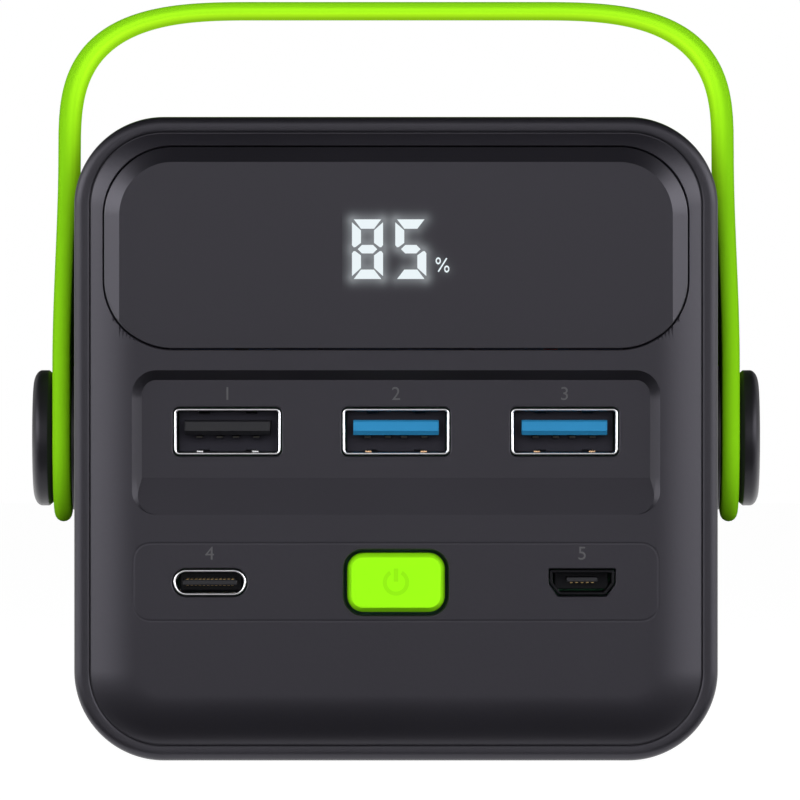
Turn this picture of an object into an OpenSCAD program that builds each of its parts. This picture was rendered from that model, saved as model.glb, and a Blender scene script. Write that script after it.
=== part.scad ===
// Pocket power station: a square battery block with a swinging carry handle.
// Body-centred coordinates are used inside the modules: X to the right, Y to the back, Z up.

/* [Body] */
// Width of the body across its flat sides
body_w = 79; // [78:0.5:96]
// Height of the body
body_h = 79; // [78:0.5:96]
// Depth of the body from the front face to the back face
body_d = 62; // [61.5:0.5:76]
// Radius of the four long corners of the body
corner_r = 11; // [9:0.5:13.5]
// Wall of the main shell
wall = 1.9; // [1.6:0.1:2.4]
// Open seam between the shell and the two end panels
seam = 0.2; // [0.1:0.05:0.3]
// Radius of the shell's outer rims
rim_r = 1.2; // [0.8:0.1:1.5]

/* [End panels] */
// Width of the crowned border of a panel
crown_w = 6; // [4:0.5:6.5]
// How far the crowned border falls away at the seam
crown_drop = 1.8; // [1:0.1:2.2]
// Plate thickness of a panel
plate_t = 2.4; // [2:0.1:3]
// Depth of the skirt that slides into the shell
skirt_d = 7; // [5.5:0.5:8]
// Wall of the skirt
skirt_t = 1.8; // [1.4:0.1:2]

/* [Display] */
// Distance from the body's outline to the window's outline
win_inset = 3.75; // [3:0.25:4.5]
// Height of the window
win_h = 24.7; // [22:0.1:26]
// Corner radius of the window
win_r = 8.4; // [6:0.2:10]
// Thickness of the window
win_t = 2; // [1.6:0.1:2.4]
// Width of the window's bevel along its sides and top
win_bevel = 1.85; // [1.2:0.05:2.4]
// Seam around the window
win_gap = 0.12; // [0.08:0.02:0.2]
// Height of the display digits
digit_h = 7.3; // [6:0.1:9]

/* [Ports] */
// Depth of the recess around the upper ports
pocket_depth = 1.3; // [0.8:0.1:1.6]
// Pitch of the three upper ports
port_pitch = 20.67; // [18:0.1:22]
// Height of the upper ports above the body's centre
upper_port_z = 0.87; // [-0.5:0.1:2]
// Distance of the lower row below the body's centre
lower_row_z = -17.6; // [-19:0.1:-16]
// Distance of the two lower ports from the middle
lower_port_x = 22.8; // [21:0.1:25]
// Play between a socket shell and its opening
port_gap = 0.15; // [0.1:0.05:0.25]

/* [Button] */
// Width of the power button
button_w = 12; // [10:0.5:14]
// Height of the power button
button_h = 7.25; // [6:0.25:8]
// How far the button stands out of the face
button_proud = 0.6; // [0.4:0.1:1.2]
// Travel of the button
button_travel = 0.5; // [0.3:0.1:0.8]
// Open gap around the button
button_gap = 0.4; // [0.2:0.1:0.5]

/* [Handle] */
// Width of the handle strap
strap_w = 21; // [16:1:25]
// Thickness of the strap at its legs
leg_t = 2.2; // [1.6:0.1:2.6]
// Thickness of the strap at the grip bar
bar_t = 1.55; // [1.3:0.05:2.4]
// Finger gap between the body's top and the grip bar
finger_gap = 13.3; // [12:0.5:24]
// Radius of the pivot caps
cap_r = 8.5; // [7:0.5:10]
// Thickness of the pivot caps
cap_t = 2.5; // [2:0.1:3.5]

/* [Hidden] */
$fn = 48;
eps = 0.01;
over = 1;                                   // how far a cut runs past a face

// body, shell and panels
foot_proud = 0.15;
center_z = foot_proud + body_h / 2;
center_y = button_proud / 2;
panel_inset = wall + seam;
panel_w = body_w - 2 * panel_inset;
panel_h = body_h - 2 * panel_inset;
panel_r = corner_r - panel_inset;
crown_r = (crown_w * crown_w + crown_drop * crown_drop) / (2 * crown_drop);
inner_w = body_w - 2 * wall;
inner_h = body_h - 2 * wall;
inner_r = corner_r - wall;
rim_y = crown_drop + 0.1;                   // the shell's rims stand this far behind the faces
stop_d = 1.2;                               // section of the stops that the skirts rest on
lip_cut = 0.3;                              // chamfer inside the shell's rims
clip_w = 9;
clip_h = 1.6;
clip_proud = 0.7;

// window and what lies behind it
win_w = body_w - 2 * win_inset;
win_z = body_h / 2 - win_inset - win_h / 2;
win_u = crown_w - (win_inset - panel_inset);
win_edge = crown_r - sqrt(crown_r * crown_r - win_u * win_u);
lip_w = 1.6;
lip_t = 1.4;
digit_w = 0.53 * digit_h;
digit_z = win_z - 0.18;
digit_x = [-0.478 * digit_h, 0.248 * digit_h];
percent_x = 0.78 * digit_h;
percent_z = digit_z - digit_h / 2 + 1.72;
block_gap = 0.2;
block_t = 4;
block_top = win_t + block_gap;
board_t = 1.2;

// sockets
pocket_w = 64.7;
pocket_top = 8.4;
pocket_low = -9.3;
pocket_r = 3;
pocket_wall = 1.2;                          // how far the sloped walls lean in
ramp_run = 4.5;
usb_a = [13.1, 5.72];
usb_a_wall = 0.3;
usb_c = [8.94, 3.16];
micro_usb = [7.9, 3.05];
port_board_d = 14.5;                        // the port board's front lies this far behind the face
port_board_t = 1.6;
ring_line = 0.35;
ring_depth = 0.12;
row_w = 64.7;
row_h = 9.9;
row_r = 2.3;

// cells
cell_r = 9.2;
cell_l = 65.2;
cell_pitch = 19.2;
cell_row = 19.2;
cell_gap = 0.15;
crimp = 0.4;                                // depth of the groove under a cell's cap
cells_y = body_d / 2 - plate_t - 0.5 - cell_r - 1 - cell_row / 2;

// handle
cap_gap = 0.15;
washer_t = 1;
eye_in = body_w / 2 + washer_t + 0.15;
eye_out = eye_in + leg_t;
bush_r = 4;
bush_play = 0.06;
stem_r = 3;
stem_play = 0.05;
bush_seat = 0.5;
swing_r = norm([body_d / 2, body_h / 2]);
bar_in = max(body_h / 2 + finger_gap, swing_r - crown_drop + 2);
bar_mid = bar_in + bar_t / 2;
leg_x = body_w / 2 + 1.5;                   // middle of the strap where the arch begins
arch_a = 24;
arch_b = 17.9;
arch_n = 3.1;
arch_x = leg_x - arch_a;
arch_z = bar_mid - arch_b;

// colours
shell_c = [0.17, 0.17, 0.18];
dark_c = [0.08, 0.08, 0.09];
green_c = [0.48, 0.9, 0.06];
steel_c = [0.75, 0.75, 0.77];

// ---- placing ----
// the whole object stands on its feet, centred over the origin
module place() { translate([0, center_y, center_z]) children(); }
// local Z points out of the front face, and z = 0 lies on that face
module front(z = 0) { translate([0, -body_d / 2 - z, 0]) rotate([90, 0, 0]) children(); }
module back(z = 0) { translate([0, body_d / 2 + z, 0]) rotate([90, 0, 180]) children(); }
// local Z points out of the right or the left side, along X
module side(s) { mirror([s < 0 ? 1 : 0, 0, 0]) rotate([0, 90, 0]) children(); }
module tube(ro, ri, z0, z1) {
  difference() {
    translate([0, 0, z0]) cylinder(r = ro, h = z1 - z0);
    translate([0, 0, z0 - over]) cylinder(r = ri, h = z1 - z0 + 2 * over);
  }
}

// ---- rounded blocks ----
// carries an edge section, drawn from the corner axis outwards, round the four sides of a rectangle
module rim(w, h, r) {
  for (k = [0:3]) {
    flip = k % 2 == 0;
    lx = (flip ? w : h) / 2 - r;
    ly = (flip ? h : w) / 2 - r;
    rotate(90 * k) translate([lx, ly, 0]) rotate([90, 0, 0]) linear_extrude(2 * ly) children();
    rotate(90 * k) translate([lx, ly, 0]) rotate_extrude(angle = 90) children();
  }
}
module block(w, h, r, z0, z1) {
  translate([r - w / 2, r - h / 2, z0]) cube([w - 2 * r, h - 2 * r, z1 - z0]);
  rim(w, h, r) translate([0, z0]) square([r, z1 - z0]);
}
module crowned_block(w, h, r, z0) {
  translate([r - w / 2, r - h / 2, z0]) cube([w - 2 * r, h - 2 * r, -z0]);
  rim(w, h, r) crown_section(r, z0);
}
module crown_section(r, z0) {
  flat = r - crown_w;
  translate([0, z0]) square([flat, -z0]);
  translate([flat, z0]) intersection() {
    square([crown_w, -z0]);
    translate([0, -z0 - crown_r]) circle(crown_r, $fn = 96);
  }
}
function bevel_points(r, z0, edge, bevel, out) =
  [[0, z0], [r + out, z0], [r + out, -edge - out * edge / bevel], [r - bevel, 0], [0, 0]];

// ---- shell and panels ----
module main_shell() {
  z0 = rim_y;
  z1 = body_d - rim_y;
  color(shell_c) place() difference() {
    union() {
      front() rim(body_w, body_h, corner_r) difference() {
        translate([inner_r, -z1]) square([wall, z1 - z0]);
        translate([corner_r - rim_r, -z0 - rim_r]) rim_cut();
        translate([corner_r - rim_r, -z1 + rim_r]) mirror([0, 1]) rim_cut();
        for (m = [0, 1]) translate([inner_r, m == 0 ? -z0 : -z1]) mirror([0, m]) chamfer_cut();
      }
      for (m = [0, 1]) mirror([0, m, 0]) front(-skirt_d - 0.1 - stop_d) corner_stops();
      for (s = [-1, 1]) side(s) translate([0, 0, screw_seat]) cylinder(r = 7, h = 3 + wall / 2);
      at_feet() translate([0, 0, wall / 2]) cylinder(r = foot_r + foot_rim, h = wall / 2 + foot_boss);
    }
    for (m = [0, 1]) mirror([0, m, 0]) clip_slots();
    for (s = [-1, 1]) side(s) {
      translate([0, 0, body_w / 2 - 8]) cylinder(r = stem_r + stem_play, h = 10);
      translate([0, 0, body_w / 2 - bush_seat]) cylinder(r = bush_r + stem_play, h = 2);
    }
    at_feet() {
      translate([0, 0, -over]) cylinder(r = foot_r + 0.15, h = over + foot_seat);
      cylinder(r = 1.5, h = 2 * wall + foot_boss);
    }
  }
}
module at_feet() {
  for (x = [-1, 1], y = [-1, 1]) translate([x * foot_x, y * foot_y, -body_h / 2]) children();
}
module chamfer_cut() { polygon([[-0.1, 0.1], [lip_cut + 0.1, 0.1], [-0.1, -lip_cut - 0.1]]); }
module rim_cut() { difference() { square(rim_r + over); circle(rim_r, $fn = 64); } }
module corner_stops() {
  for (x = [0, 1], y = [0, 1]) mirror([x, 0, 0]) mirror([0, y, 0])
    translate([body_w / 2 - corner_r, body_h / 2 - corner_r, 0]) rotate([0, 0, 15])
      rotate_extrude(angle = 60) translate([inner_r - stop_d, 0]) square([stop_d + wall / 2, stop_d]);
}
// snap-fit tabs on a skirt, and the slots in the shell that they spring into
clip_y = body_d / 2 - skirt_d + 2;
module clip_row(len, t, h) {
  for (x = [-18, 18], s = [-1, 1]) {
    translate([x - len / 2, clip_y - h / 2, s > 0 ? panel_h / 2 - eps : -panel_h / 2 - t + eps]) cube([len, h, t]);
    translate([s > 0 ? panel_w / 2 - eps : -panel_w / 2 - t + eps, clip_y - h / 2, x - len / 2]) cube([t, h, len]);
  }
}
module clip_slots() { clip_row(clip_w + 0.6, seam + clip_proud + 0.1, clip_h + 0.4); }
module skirted_panel() {
  difference() {
    crowned_block(panel_w, panel_h, panel_r, -skirt_d);
    block(panel_w - 2 * skirt_t, panel_h - 2 * skirt_t, panel_r - skirt_t, -skirt_d - over, -plate_t);
  }
}
module pocket_cut() {
  h = pocket_top - pocket_low;
  intersection() {
    translate([0, (pocket_top + pocket_low) / 2, 0]) {
      translate([pocket_r - pocket_w / 2, pocket_r - h / 2, -pocket_depth])
        cube([pocket_w - 2 * pocket_r, h - 2 * pocket_r, pocket_depth + over]);
      rim(pocket_w, h, pocket_r)
        polygon([[0, -pocket_depth], [pocket_r - pocket_wall, -pocket_depth], [pocket_r, 0],
                 [pocket_r, over], [0, over]]);
    }
    rotate([90, 0, 90]) translate([0, 0, -pocket_w / 2 - over]) linear_extrude(pocket_w + 2 * over)
      polygon([[pocket_low, 0], [pocket_low + ramp_run, -pocket_depth], [pocket_top + over, -pocket_depth],
               [pocket_top + over, 2 * over], [pocket_low, 2 * over]]);
  }
}
module slot_block(size, z0, z1) { block(size[0], size[1], size[1] / 2 - eps, z0, z1); }
function grown(size, g) = [size[0] + 2 * g, size[1] + 2 * g];
micro_cut = 1.1;                            // how far its lower corners are cut back
module micro_outline(g) {
  w = micro_usb[0] / 2 + g;
  h = micro_usb[1] / 2 + g;
  polygon([[-w, h], [w, h], [w, -h * 0.1], [w - micro_cut, -h], [micro_cut - w, -h], [-w, -h * 0.1]]);
}
display_post = win_w / 2 - 5.75;            // the display board's posts stand in the window seat
board_post = [body_w / 2 - 11, 8.4, -25.5];
module front_panel() {
  plate = -plate_t - 0.6;                   // the plate is thicker behind the recess
  sunk = -plate_t + 0.5;
  well_top = panel_h / 2 - 0.15;            // the window seat is a thicker place, up to the skirt
  well_low = win_z - win_h / 2 - 1.5;
  color(shell_c) place() difference() {
    union() {
      front() skirted_panel();
      front() translate([0, (well_top + well_low) / 2, 0])
        block(panel_w - 1.7, well_top - well_low, win_r, -win_t - lip_t, sunk);
      front() translate([0, (pocket_top + pocket_low) / 2, 0])
        block(pocket_w, pocket_top - pocket_low + 2, pocket_r, plate, sunk);
      for (x = [-1, 1], z = [1, 2]) translate([x * board_post[0], 0, board_post[z]])
        front() translate([0, 0, -port_board_d]) cylinder(r = 2.6, h = port_board_d - plate_t + 0.3);
      for (x = [-1, 1]) front() translate([x * display_post, win_z, -block_top - block_t])
        cylinder(r = 2, h = block_t + block_top - win_t - 0.4);
      mirror([0, 1, 0]) clip_row(clip_w, seam + clip_proud - 0.2, clip_h);
    }
    front() translate([0, win_z, 0]) {
      block(win_w + 2 * win_gap, win_h + 2 * win_gap, win_r + win_gap, -win_t, over);
      block(win_w - 2 * lip_w - 2 * 3, win_h - 2 * lip_w, win_r - lip_w, -win_t - 2 * lip_t, -win_t + over);
    }
    front() pocket_cut();
    front() for (x = [-1:1]) translate([x * port_pitch, upper_port_z, 0])
      block(usb_a[0] + 2 * port_gap, usb_a[1] + 2 * port_gap, 0.8, plate - over, over);
    front() translate([-lower_port_x, lower_row_z, 0]) slot_block(grown(usb_c, port_gap), plate - over, over);
    front() translate([lower_port_x, lower_row_z, plate - over]) linear_extrude(2 * over - plate)
      micro_outline(port_gap);
    front() translate([0, lower_row_z, 0])
      block(button_w + 2 * button_gap, button_h + 2 * button_gap, 2 + button_gap, plate - over, over);
    front() translate([0, lower_row_z + 0.05, -ring_depth]) linear_extrude(over) difference() {
      rounded_outline(row_w, row_h, row_r);
      rounded_outline(row_w - 2 * ring_line, row_h - 2 * ring_line, row_r - ring_line);
    }
    for (x = [-1, 1], z = [1, 2]) translate([x * board_post[0], 0, board_post[z]])
      front() translate([0, 0, -port_board_d - over]) cylinder(r = 0.95, h = 7);
    for (x = [-1, 1]) front() translate([x * display_post, win_z, -block_top - block_t - over])
      cylinder(r = 0.95, h = over + 3);
  }
}
module rounded_outline(w, h, r) {
  square([w - 2 * r, h], center = true);
  square([w, h - 2 * r], center = true);
  for (x = [-1, 1], y = [-1, 1]) translate([x * (w / 2 - r), y * (h / 2 - r)]) circle(r);
}
module rear_cover() {
  color(shell_c) place() {
    back() skirted_panel();
    clip_row(clip_w, seam + clip_proud - 0.2, clip_h);
    for (x = [-1, 0, 1]) back() translate([x * cell_pitch - 0.8, -panel_h / 2 + skirt_t - 0.5, -plate_t - 0.4])
      cube([1.6, panel_h - 2 * skirt_t + 1, 0.6]);
  }
}
module display_window() {
  tall = win_h + 2 * win_r + 6;
  color([0.12, 0.12, 0.13]) place() front() intersection() {
    translate([0, win_z, 0]) block(win_w, win_h, win_r, -win_t, over);
    translate([0, win_z + (win_h - tall) / 2, 0]) {
      translate([win_r - win_w / 2, win_r - tall / 2, -win_t - over])
        cube([win_w - 2 * win_r, tall - 2 * win_r, win_t + over]);
      rim(win_w, tall, win_r) polygon(bevel_points(win_r, -win_t - over, win_edge, win_bevel, 0.5));
    }
  }
}

// ---- display ----
// the bars of a digit 7.3 high, mitred where they meet; the others are mirror images of these
top_bar = [[-1.68, 3.65], [1.68, 3.65], [0.8, 2.5], [-0.8, 2.5]];
side_bar = [[-1.9, 3.3], [-0.8, 2.3], [-0.8, 0.76], [-1.5, 0.24], [-1.7, 0.24], [-1.9, 0.5]];
mid_bar = [[-1.2, 0], [-0.68, 0.52], [0.68, 0.52], [1.2, 0], [0.68, -0.52], [-0.68, -0.52]];
module digit_shape() {
  k = digit_h / 7.3;
  polygon(k * mid_bar);
  for (m = [0, 1]) mirror([0, m]) {
    polygon(k * top_bar);
    for (n = [0, 1]) mirror([n, 0]) polygon(k * side_bar);
  }
}
module percent_shape() {
  for (s = [-1, 1]) translate([s * 0.52, -s * 0.5]) difference() { circle(0.38); circle(0.2); }
  rotate(58) square([1.96, 0.18], center = true);
}
module display_shapes() {
  for (x = digit_x) translate([x, digit_z]) digit_shape();
  translate([percent_x, percent_z]) percent_shape();
}
module display_block() {
  color("black") place() front() difference() {
    translate([-9, digit_z - 6.5, -block_top - block_t]) cube([18, 13, block_t]);
    translate([0, 0, -block_top - 2.6]) linear_extrude(4) display_shapes_grown();
  }
}
module display_shapes_grown() {
  for (x = digit_x) translate([x - digit_w / 2 - 0.2, digit_z - digit_h / 2 - 0.2]) square([digit_w + 0.4, digit_h + 0.4]);
  translate([percent_x - 1.2, percent_z - 1.2]) square([2.4, 2.4]);
}
module digit_guides() {
  color("white") place() front() translate([0, 0, -block_top - 2.6]) linear_extrude(2.6) display_shapes();
}
module display_board() {
  color([0.05, 0.25, 0.12]) place() front() difference() {
    translate([-display_post - 3, win_z - 8, -block_top - block_t - board_t]) cube([2 * display_post + 6, 16, board_t]);
    for (x = [-1, 1]) translate([x * display_post, win_z, -block_top - block_t - board_t - over]) cylinder(r = 1.1, h = 4);
  }
}

// ---- sockets ----
module usb_a_shell(x) {
  l = port_board_d - pocket_depth;
  color(steel_c) place() front() translate([x, upper_port_z, -pocket_depth - l]) difference() {
    block(usb_a[0], usb_a[1], 0.65, 0, l);
    block(usb_a[0] - 2 * usb_a_wall, usb_a[1] - 2 * usb_a_wall, 0.35, 0.6, l + over);
    for (s = [-1, 1]) translate([s * leaf_x - leaf_w / 2 - 0.2, -usb_a[1], l - leaf_out - leaf_l])
      cube([leaf_w + 0.4, 2 * usb_a[1], leaf_l + 0.2]);
  }
  color(steel_c) place() front() translate([x, upper_port_z, -port_board_d])
    for (s = [-1, 1], m = [0, 1]) mirror([0, m, 0]) translate([s * leaf_x - leaf_w / 2, 0, 0]) spring_leaf(l);
}
leaf_x = 2.9;
leaf_w = 1.4;
leaf_l = 4.8;
leaf_t = 0.2;
leaf_out = 1.7;                             // from a leaf's free end to the mouth
leaf_bow = 0.34;
// a leaf of sheet steel in its window: it hangs on the window's rear edge and bows into the mouth
module spring_leaf(l) {
  bow_r = (leaf_l * leaf_l / 4 + leaf_bow * leaf_bow) / (2 * leaf_bow);
  mid_h = usb_a[1] / 2 - usb_a_wall / 2;
  rotate([90, 0, 90]) linear_extrude(leaf_w) translate([mid_h - leaf_bow, l - leaf_out - leaf_l / 2]) intersection() {
    translate([bow_r, 0]) difference() {
      circle(bow_r + leaf_t / 2, $fn = 180);
      circle(bow_r - leaf_t / 2, $fn = 180);
    }
    translate([-over, -leaf_l / 2 - 0.1]) square([over + leaf_bow + leaf_t, leaf_l + 0.1]);
  }
}
module usb_a_tongue(x, c) {
  l = port_board_d - pocket_depth;
  in_w = usb_a[0] - 2 * usb_a_wall - 0.1;
  color(c) place() front() translate([x, upper_port_z, -pocket_depth - l]) difference() {
    union() {
      block(in_w, 5, 0.4, 0.65, 4.05);
      rotate([90, 0, 90]) translate([0, 0, -5.25]) linear_extrude(10.5)
        polygon([[-0.42, 3], [1.42, 3], [1.42, l - 1], [1.2, l - 0.7], [0.1, l - 0.7], [-0.42, l - 1.3]]);
    }
    for (k = [-1.5:1.5]) translate([k * 2.3 - 0.55, -0.72, 4.1]) cube([1.1, 0.5, l]);
  }
}
module usb_a_contacts(x) {
  l = port_board_d - pocket_depth;
  color([0.85, 0.65, 0.3]) place() front() translate([x, upper_port_z, -pocket_depth - l])
    for (k = [-1.5:1.5]) translate([k * 2.3 - 0.45, -0.56, 4.15]) cube([0.9, 0.3, l - 5.6]);
}
module usb_c_shell() {
  color(steel_c) place() front() translate([-lower_port_x, lower_row_z, -port_board_d]) difference() {
    slot_block(usb_c, 0, port_board_d);
    slot_block(grown(usb_c, -usb_a_wall), 0.6, port_board_d + over);
  }
}
module usb_c_tongue() {
  color(dark_c) place() front() translate([-lower_port_x, lower_row_z, -port_board_d]) {
    slot_block(grown(usb_c, -usb_a_wall - 0.05), 0.65, 5);
    translate([-3.35, -0.35, 4]) cube([6.7, 0.7, port_board_d - 5]);
  }
}
module usb_c_contacts() {
  color([0.85, 0.65, 0.3]) place() front() translate([-lower_port_x, lower_row_z, -port_board_d])
    for (k = [0:11], s = [-1, 1]) translate([(k - 5.5) * 0.5 - 0.13, s > 0 ? 0.35 : -0.4, 6])
      cube([0.26, 0.05, port_board_d - 7.6]);
}
module micro_usb_shell() {
  color(dark_c) place() front() translate([lower_port_x, lower_row_z, -port_board_d]) difference() {
    linear_extrude(port_board_d) micro_outline(0);
    translate([0, 0, 0.6]) linear_extrude(port_board_d) micro_outline(-0.35);
  }
}
module micro_usb_tongue() {
  color("black") place() front() translate([lower_port_x, lower_row_z, -port_board_d]) {
    translate([0, 0, 0.65]) linear_extrude(3) micro_outline(-0.4);
    translate([-1.9, 0.05, 3]) cube([3.8, 0.6, port_board_d - 4.1]);
  }
}
module micro_usb_contacts() {
  color([0.85, 0.65, 0.3]) place() front() translate([lower_port_x, lower_row_z, -port_board_d])
    for (k = [-2:2]) translate([k * 0.65 - 0.16, -0.07, 4]) cube([0.32, 0.12, port_board_d - 5.6]);
}

// ---- button and switch ----
flange_top = plate_t + 0.7;                 // the flange sits behind the plate
module power_button() {
  bevel = 0.55;
  stem = 3.2;
  color(green_c) place() front() translate([0, lower_row_z, 0]) {
    translate([2 - button_w / 2, 2 - button_h / 2, -flange_top]) cube([button_w - 4, button_h - 4, flange_top + button_proud]);
    rim(button_w, button_h, 2)
      polygon([[0, -flange_top], [2, -flange_top], [2, button_proud - bevel * 0.8], [2 - bevel, button_proud], [0, button_proud]]);
    block(button_w + 2.4, button_h + 2.4, 2.2, -flange_top - 1, -flange_top);
    translate([0, 0, -switch_top - eps]) cylinder(r = stem, h = switch_top - flange_top);
  }
}
switch_top = 9.4;
switch_d = 3.6;
module switch_plunger() {
  color("black") place() front() translate([0, lower_row_z, -port_board_d + switch_d - 1.4])
    cylinder(r = 1.7, h = port_board_d - switch_d + 1.4 - switch_top - 0.05);
}
module switch_body() {
  color(steel_c) place() front() translate([0, lower_row_z, -port_board_d]) difference() {
    block(6, 6, 0.6, 0, switch_d);
    translate([0, 0, switch_d - 2.4]) cylinder(r = 1.8, h = 4);
  }
}

// ---- boards ----
board_low = -28;
board_high = 11;
module port_board() {
  w = 2 * board_post[0] + 5.6;
  color([0.05, 0.25, 0.12]) place() front() difference() {
    translate([-w / 2, board_low, -port_board_d - port_board_t]) cube([w, board_high - board_low, port_board_t]);
    for (x = [-1, 1], z = [1, 2]) translate([x * board_post[0], board_post[z], -port_board_d - port_board_t - over])
      cylinder(r = 1.25, h = 4);
  }
}
module board_screws() {
  color(steel_c) place() front() for (x = [-1, 1]) {
    for (z = [1, 2]) translate([x * board_post[0], board_post[z], 0]) board_screw(port_board_d + port_board_t);
    translate([x * display_post, win_z, 0]) board_screw(block_top + block_t + board_t);
  }
}
module board_screw(depth) { pan_screw(-depth, 0.9, 2, 1.3, 4); }
// head under z, shank towards +Z
module pan_screw(z, r, head_r, head_h, l) {
  translate([0, 0, z - head_h]) difference() {
    cylinder(r = head_r, h = head_h);
    for (a = [0, 90]) rotate(a) translate([-head_r * 0.6, -head_r * 0.12, -over]) cube([head_r * 1.2, head_r * 0.24, over + head_h * 0.5]);
  }
  translate([0, 0, z - eps]) cylinder(r = r, h = l);
}
board_back = port_board_d + port_board_t;
module power_inductors() {
  color([0.3, 0.3, 0.32]) place() front() for (x = [-15, 15]) translate([x, -8, -board_back - 3.6])
    difference() {
      block(8, 8, 1.2, 0, 3.6);
      translate([0, 0, -over]) cylinder(r = 1.6, h = over + 0.4);
    }
}
module power_capacitors() {
  color([0.7, 0.7, 0.72]) place() front() for (x = [-24, -5, 5, 24]) translate([x, 3, -board_back]) {
    translate([0, 0, -0.8]) block(5, 5, 0.6, 0, 0.8);
    translate([0, 0, -3.8]) cylinder(r = 2.2, h = 3.2);
  }
}
module power_chips() {
  color("black") place() front() for (p = [[-15, -20], [0, -9], [15, -20], [0, -22]]) translate([p[0] - 2.5, p[1] - 2.5, -board_back - 0.9])
    cube([5, 5, 0.9]);
}

// ---- cells ----
function cell_at(i) = [(i % 3 - 1) * cell_pitch, cells_y + (i < 3 ? -0.5 : 0.5) * cell_row];
module cell(i) {
  color([0.2, 0.35, 0.6]) place() translate([cell_at(i)[0], cell_at(i)[1], -cell_l / 2]) rotate_extrude()
    polygon([[0, 0], [cell_r - 0.4, 0], [cell_r, 0.4], [cell_r, cell_l - 4.2], [cell_r - crimp, cell_l - 3.8],
             [cell_r - crimp, cell_l - 3.2], [cell_r, cell_l - 2.8], [cell_r, cell_l - 1.3],
             [cell_r - 0.4, cell_l - 0.9], [3.6, cell_l - 0.9], [3.6, cell_l - 0.2], [3.4, cell_l], [0, cell_l]]);
}
holder_t = (inner_h - cell_l) / 2 - 0.15;   // from a cell's end to just inside the shell
holder_grip = 4;                            // how far a holder reaches along the cells
holder_front = cells_y - cell_row / 2 - cell_r - 1;
holder_back = cells_y + cell_row / 2 + cell_r + 1;
holder_w = 2 * cell_pitch + 2 * cell_r + 1.2;
module cell_holder() {
  difference() {
    translate([-holder_w / 2, holder_front, cell_l / 2 - holder_grip])
      cube([holder_w, holder_back - holder_front, holder_grip + holder_t]);
    for (i = [0:5]) translate([cell_at(i)[0], cell_at(i)[1], 0]) {
      cylinder(r = cell_r + cell_gap, h = cell_l / 2 + 0.05);
      cylinder(r = 7, h = cell_l / 2 + 0.6);
    }
    for (x = [-1:1]) translate([x * cell_pitch - strip_w / 2 - 0.2, cells_y - cell_row / 2 - strip_w / 2 - 0.2, 0])
      cube([strip_w + 0.4, cell_row + strip_w + 0.4, cell_l / 2 + 0.5]);
    for (x = [-1, 1]) translate([x * cell_pitch - tab_w / 2 - 0.2, holder_front - over, 0])
      cube([tab_w + 0.4, cell_r, cell_l / 2 + 0.5]);
    translate([-body_w / 2, body_d / 2 - skirt_d - 0.3, panel_h / 2 - skirt_t - 0.15])
      cube([body_w, skirt_d, wall + skirt_t]);
  }
}
strip_w = 6;
tab_w = 3;
tray_front = -body_d / 2 + skirt_d + 1.2;
tray_t = 4;
module chassis_tray() {
  color([0.1, 0.1, 0.1]) place() difference() {
    union() {
      mirror([0, 0, 1]) cell_holder();
      translate([-holder_w / 2, tray_front, -inner_h / 2 + 0.15])
        cube([holder_w, holder_front - tray_front + 1, tray_t]);
    }
    at_feet() {
      cylinder(r = foot_r + foot_rim + 0.15, h = wall + foot_boss + 0.1);
      cylinder(r = 1.25, h = wall + foot_boss + 1.9);
    }
  }
}
module top_holder() { color([0.1, 0.1, 0.1]) place() cell_holder(); }
module cell_strips() {
  color(steel_c) place() for (s = [0, 1], x = [-1:1]) mirror([0, 0, s]) translate([x * cell_pitch, 0, cell_l / 2 + 0.05]) {
    translate([-strip_w / 2, cells_y - (cell_row + strip_w) / 2, 0]) cube([strip_w, cell_row + strip_w, 0.25]);
    if (s == 0 && x != 0) translate([-tab_w / 2, lead_y - 1, 0]) cube([tab_w, cells_y - cell_row / 2 - lead_y, 0.25]);
  }
}
lead_r = 0.9;
lead_bend = 3;
lead_z = 8;
lead_y = -body_d / 2 + board_back + 0.05 + lead_bend;
// a lead leaves the board backwards, turns up through a quarter circle and rises to the strip's tab
module lead(x) {
  translate([x, lead_y, lead_z + lead_bend]) {
    translate([0, -lead_bend, 0]) rotate([0, 90, 0]) rotate_extrude(angle = 90)
      translate([lead_bend, 0]) circle(lead_r);
    cylinder(r = lead_r, h = cell_l / 2 - lead_z - lead_bend);
  }
}
module lead_positive() { color("red") place() lead(cell_pitch); }
module lead_negative() { color([0.1, 0.1, 0.1]) place() lead(-cell_pitch); }

// ---- handle ----
// middle line of the strap as [x, z, thickness], from the right pivot up to the middle of the bar
function arch_point(t) =
  let (c = pow(max(cos(t), 0), 2 / arch_n), s = pow(max(sin(t), 0), 2 / arch_n))
  [arch_x + arch_a * c, arch_z + arch_b * s, leg_t + (bar_t - leg_t) * pow(sin(t), 2)];
eye_mid = (eye_in + eye_out) / 2;
leg_lean = 9;                               // the legs lean inwards above this height
leg_line = [for (k = [0:6]) let (z = leg_lean + (arch_z - leg_lean) * k / 6, u = k / 6)
            [eye_mid + (leg_x - eye_mid) * (3 * u * u - 2 * u * u * u), z, leg_t]];
arch_line = [for (t = [10, 20, 30, 38, 45, 51, 57, 63, 69, 75, 81, 86]) arch_point(t)];
half_line = concat([[eye_mid, 0, leg_t]], leg_line, arch_line);
mid_line = concat(half_line, [[0, bar_mid, bar_t]],
                  [for (k = [len(half_line) - 1:-1:0]) [-half_line[k][0], half_line[k][1], half_line[k][2]]]);
end_steps = 6;
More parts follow.
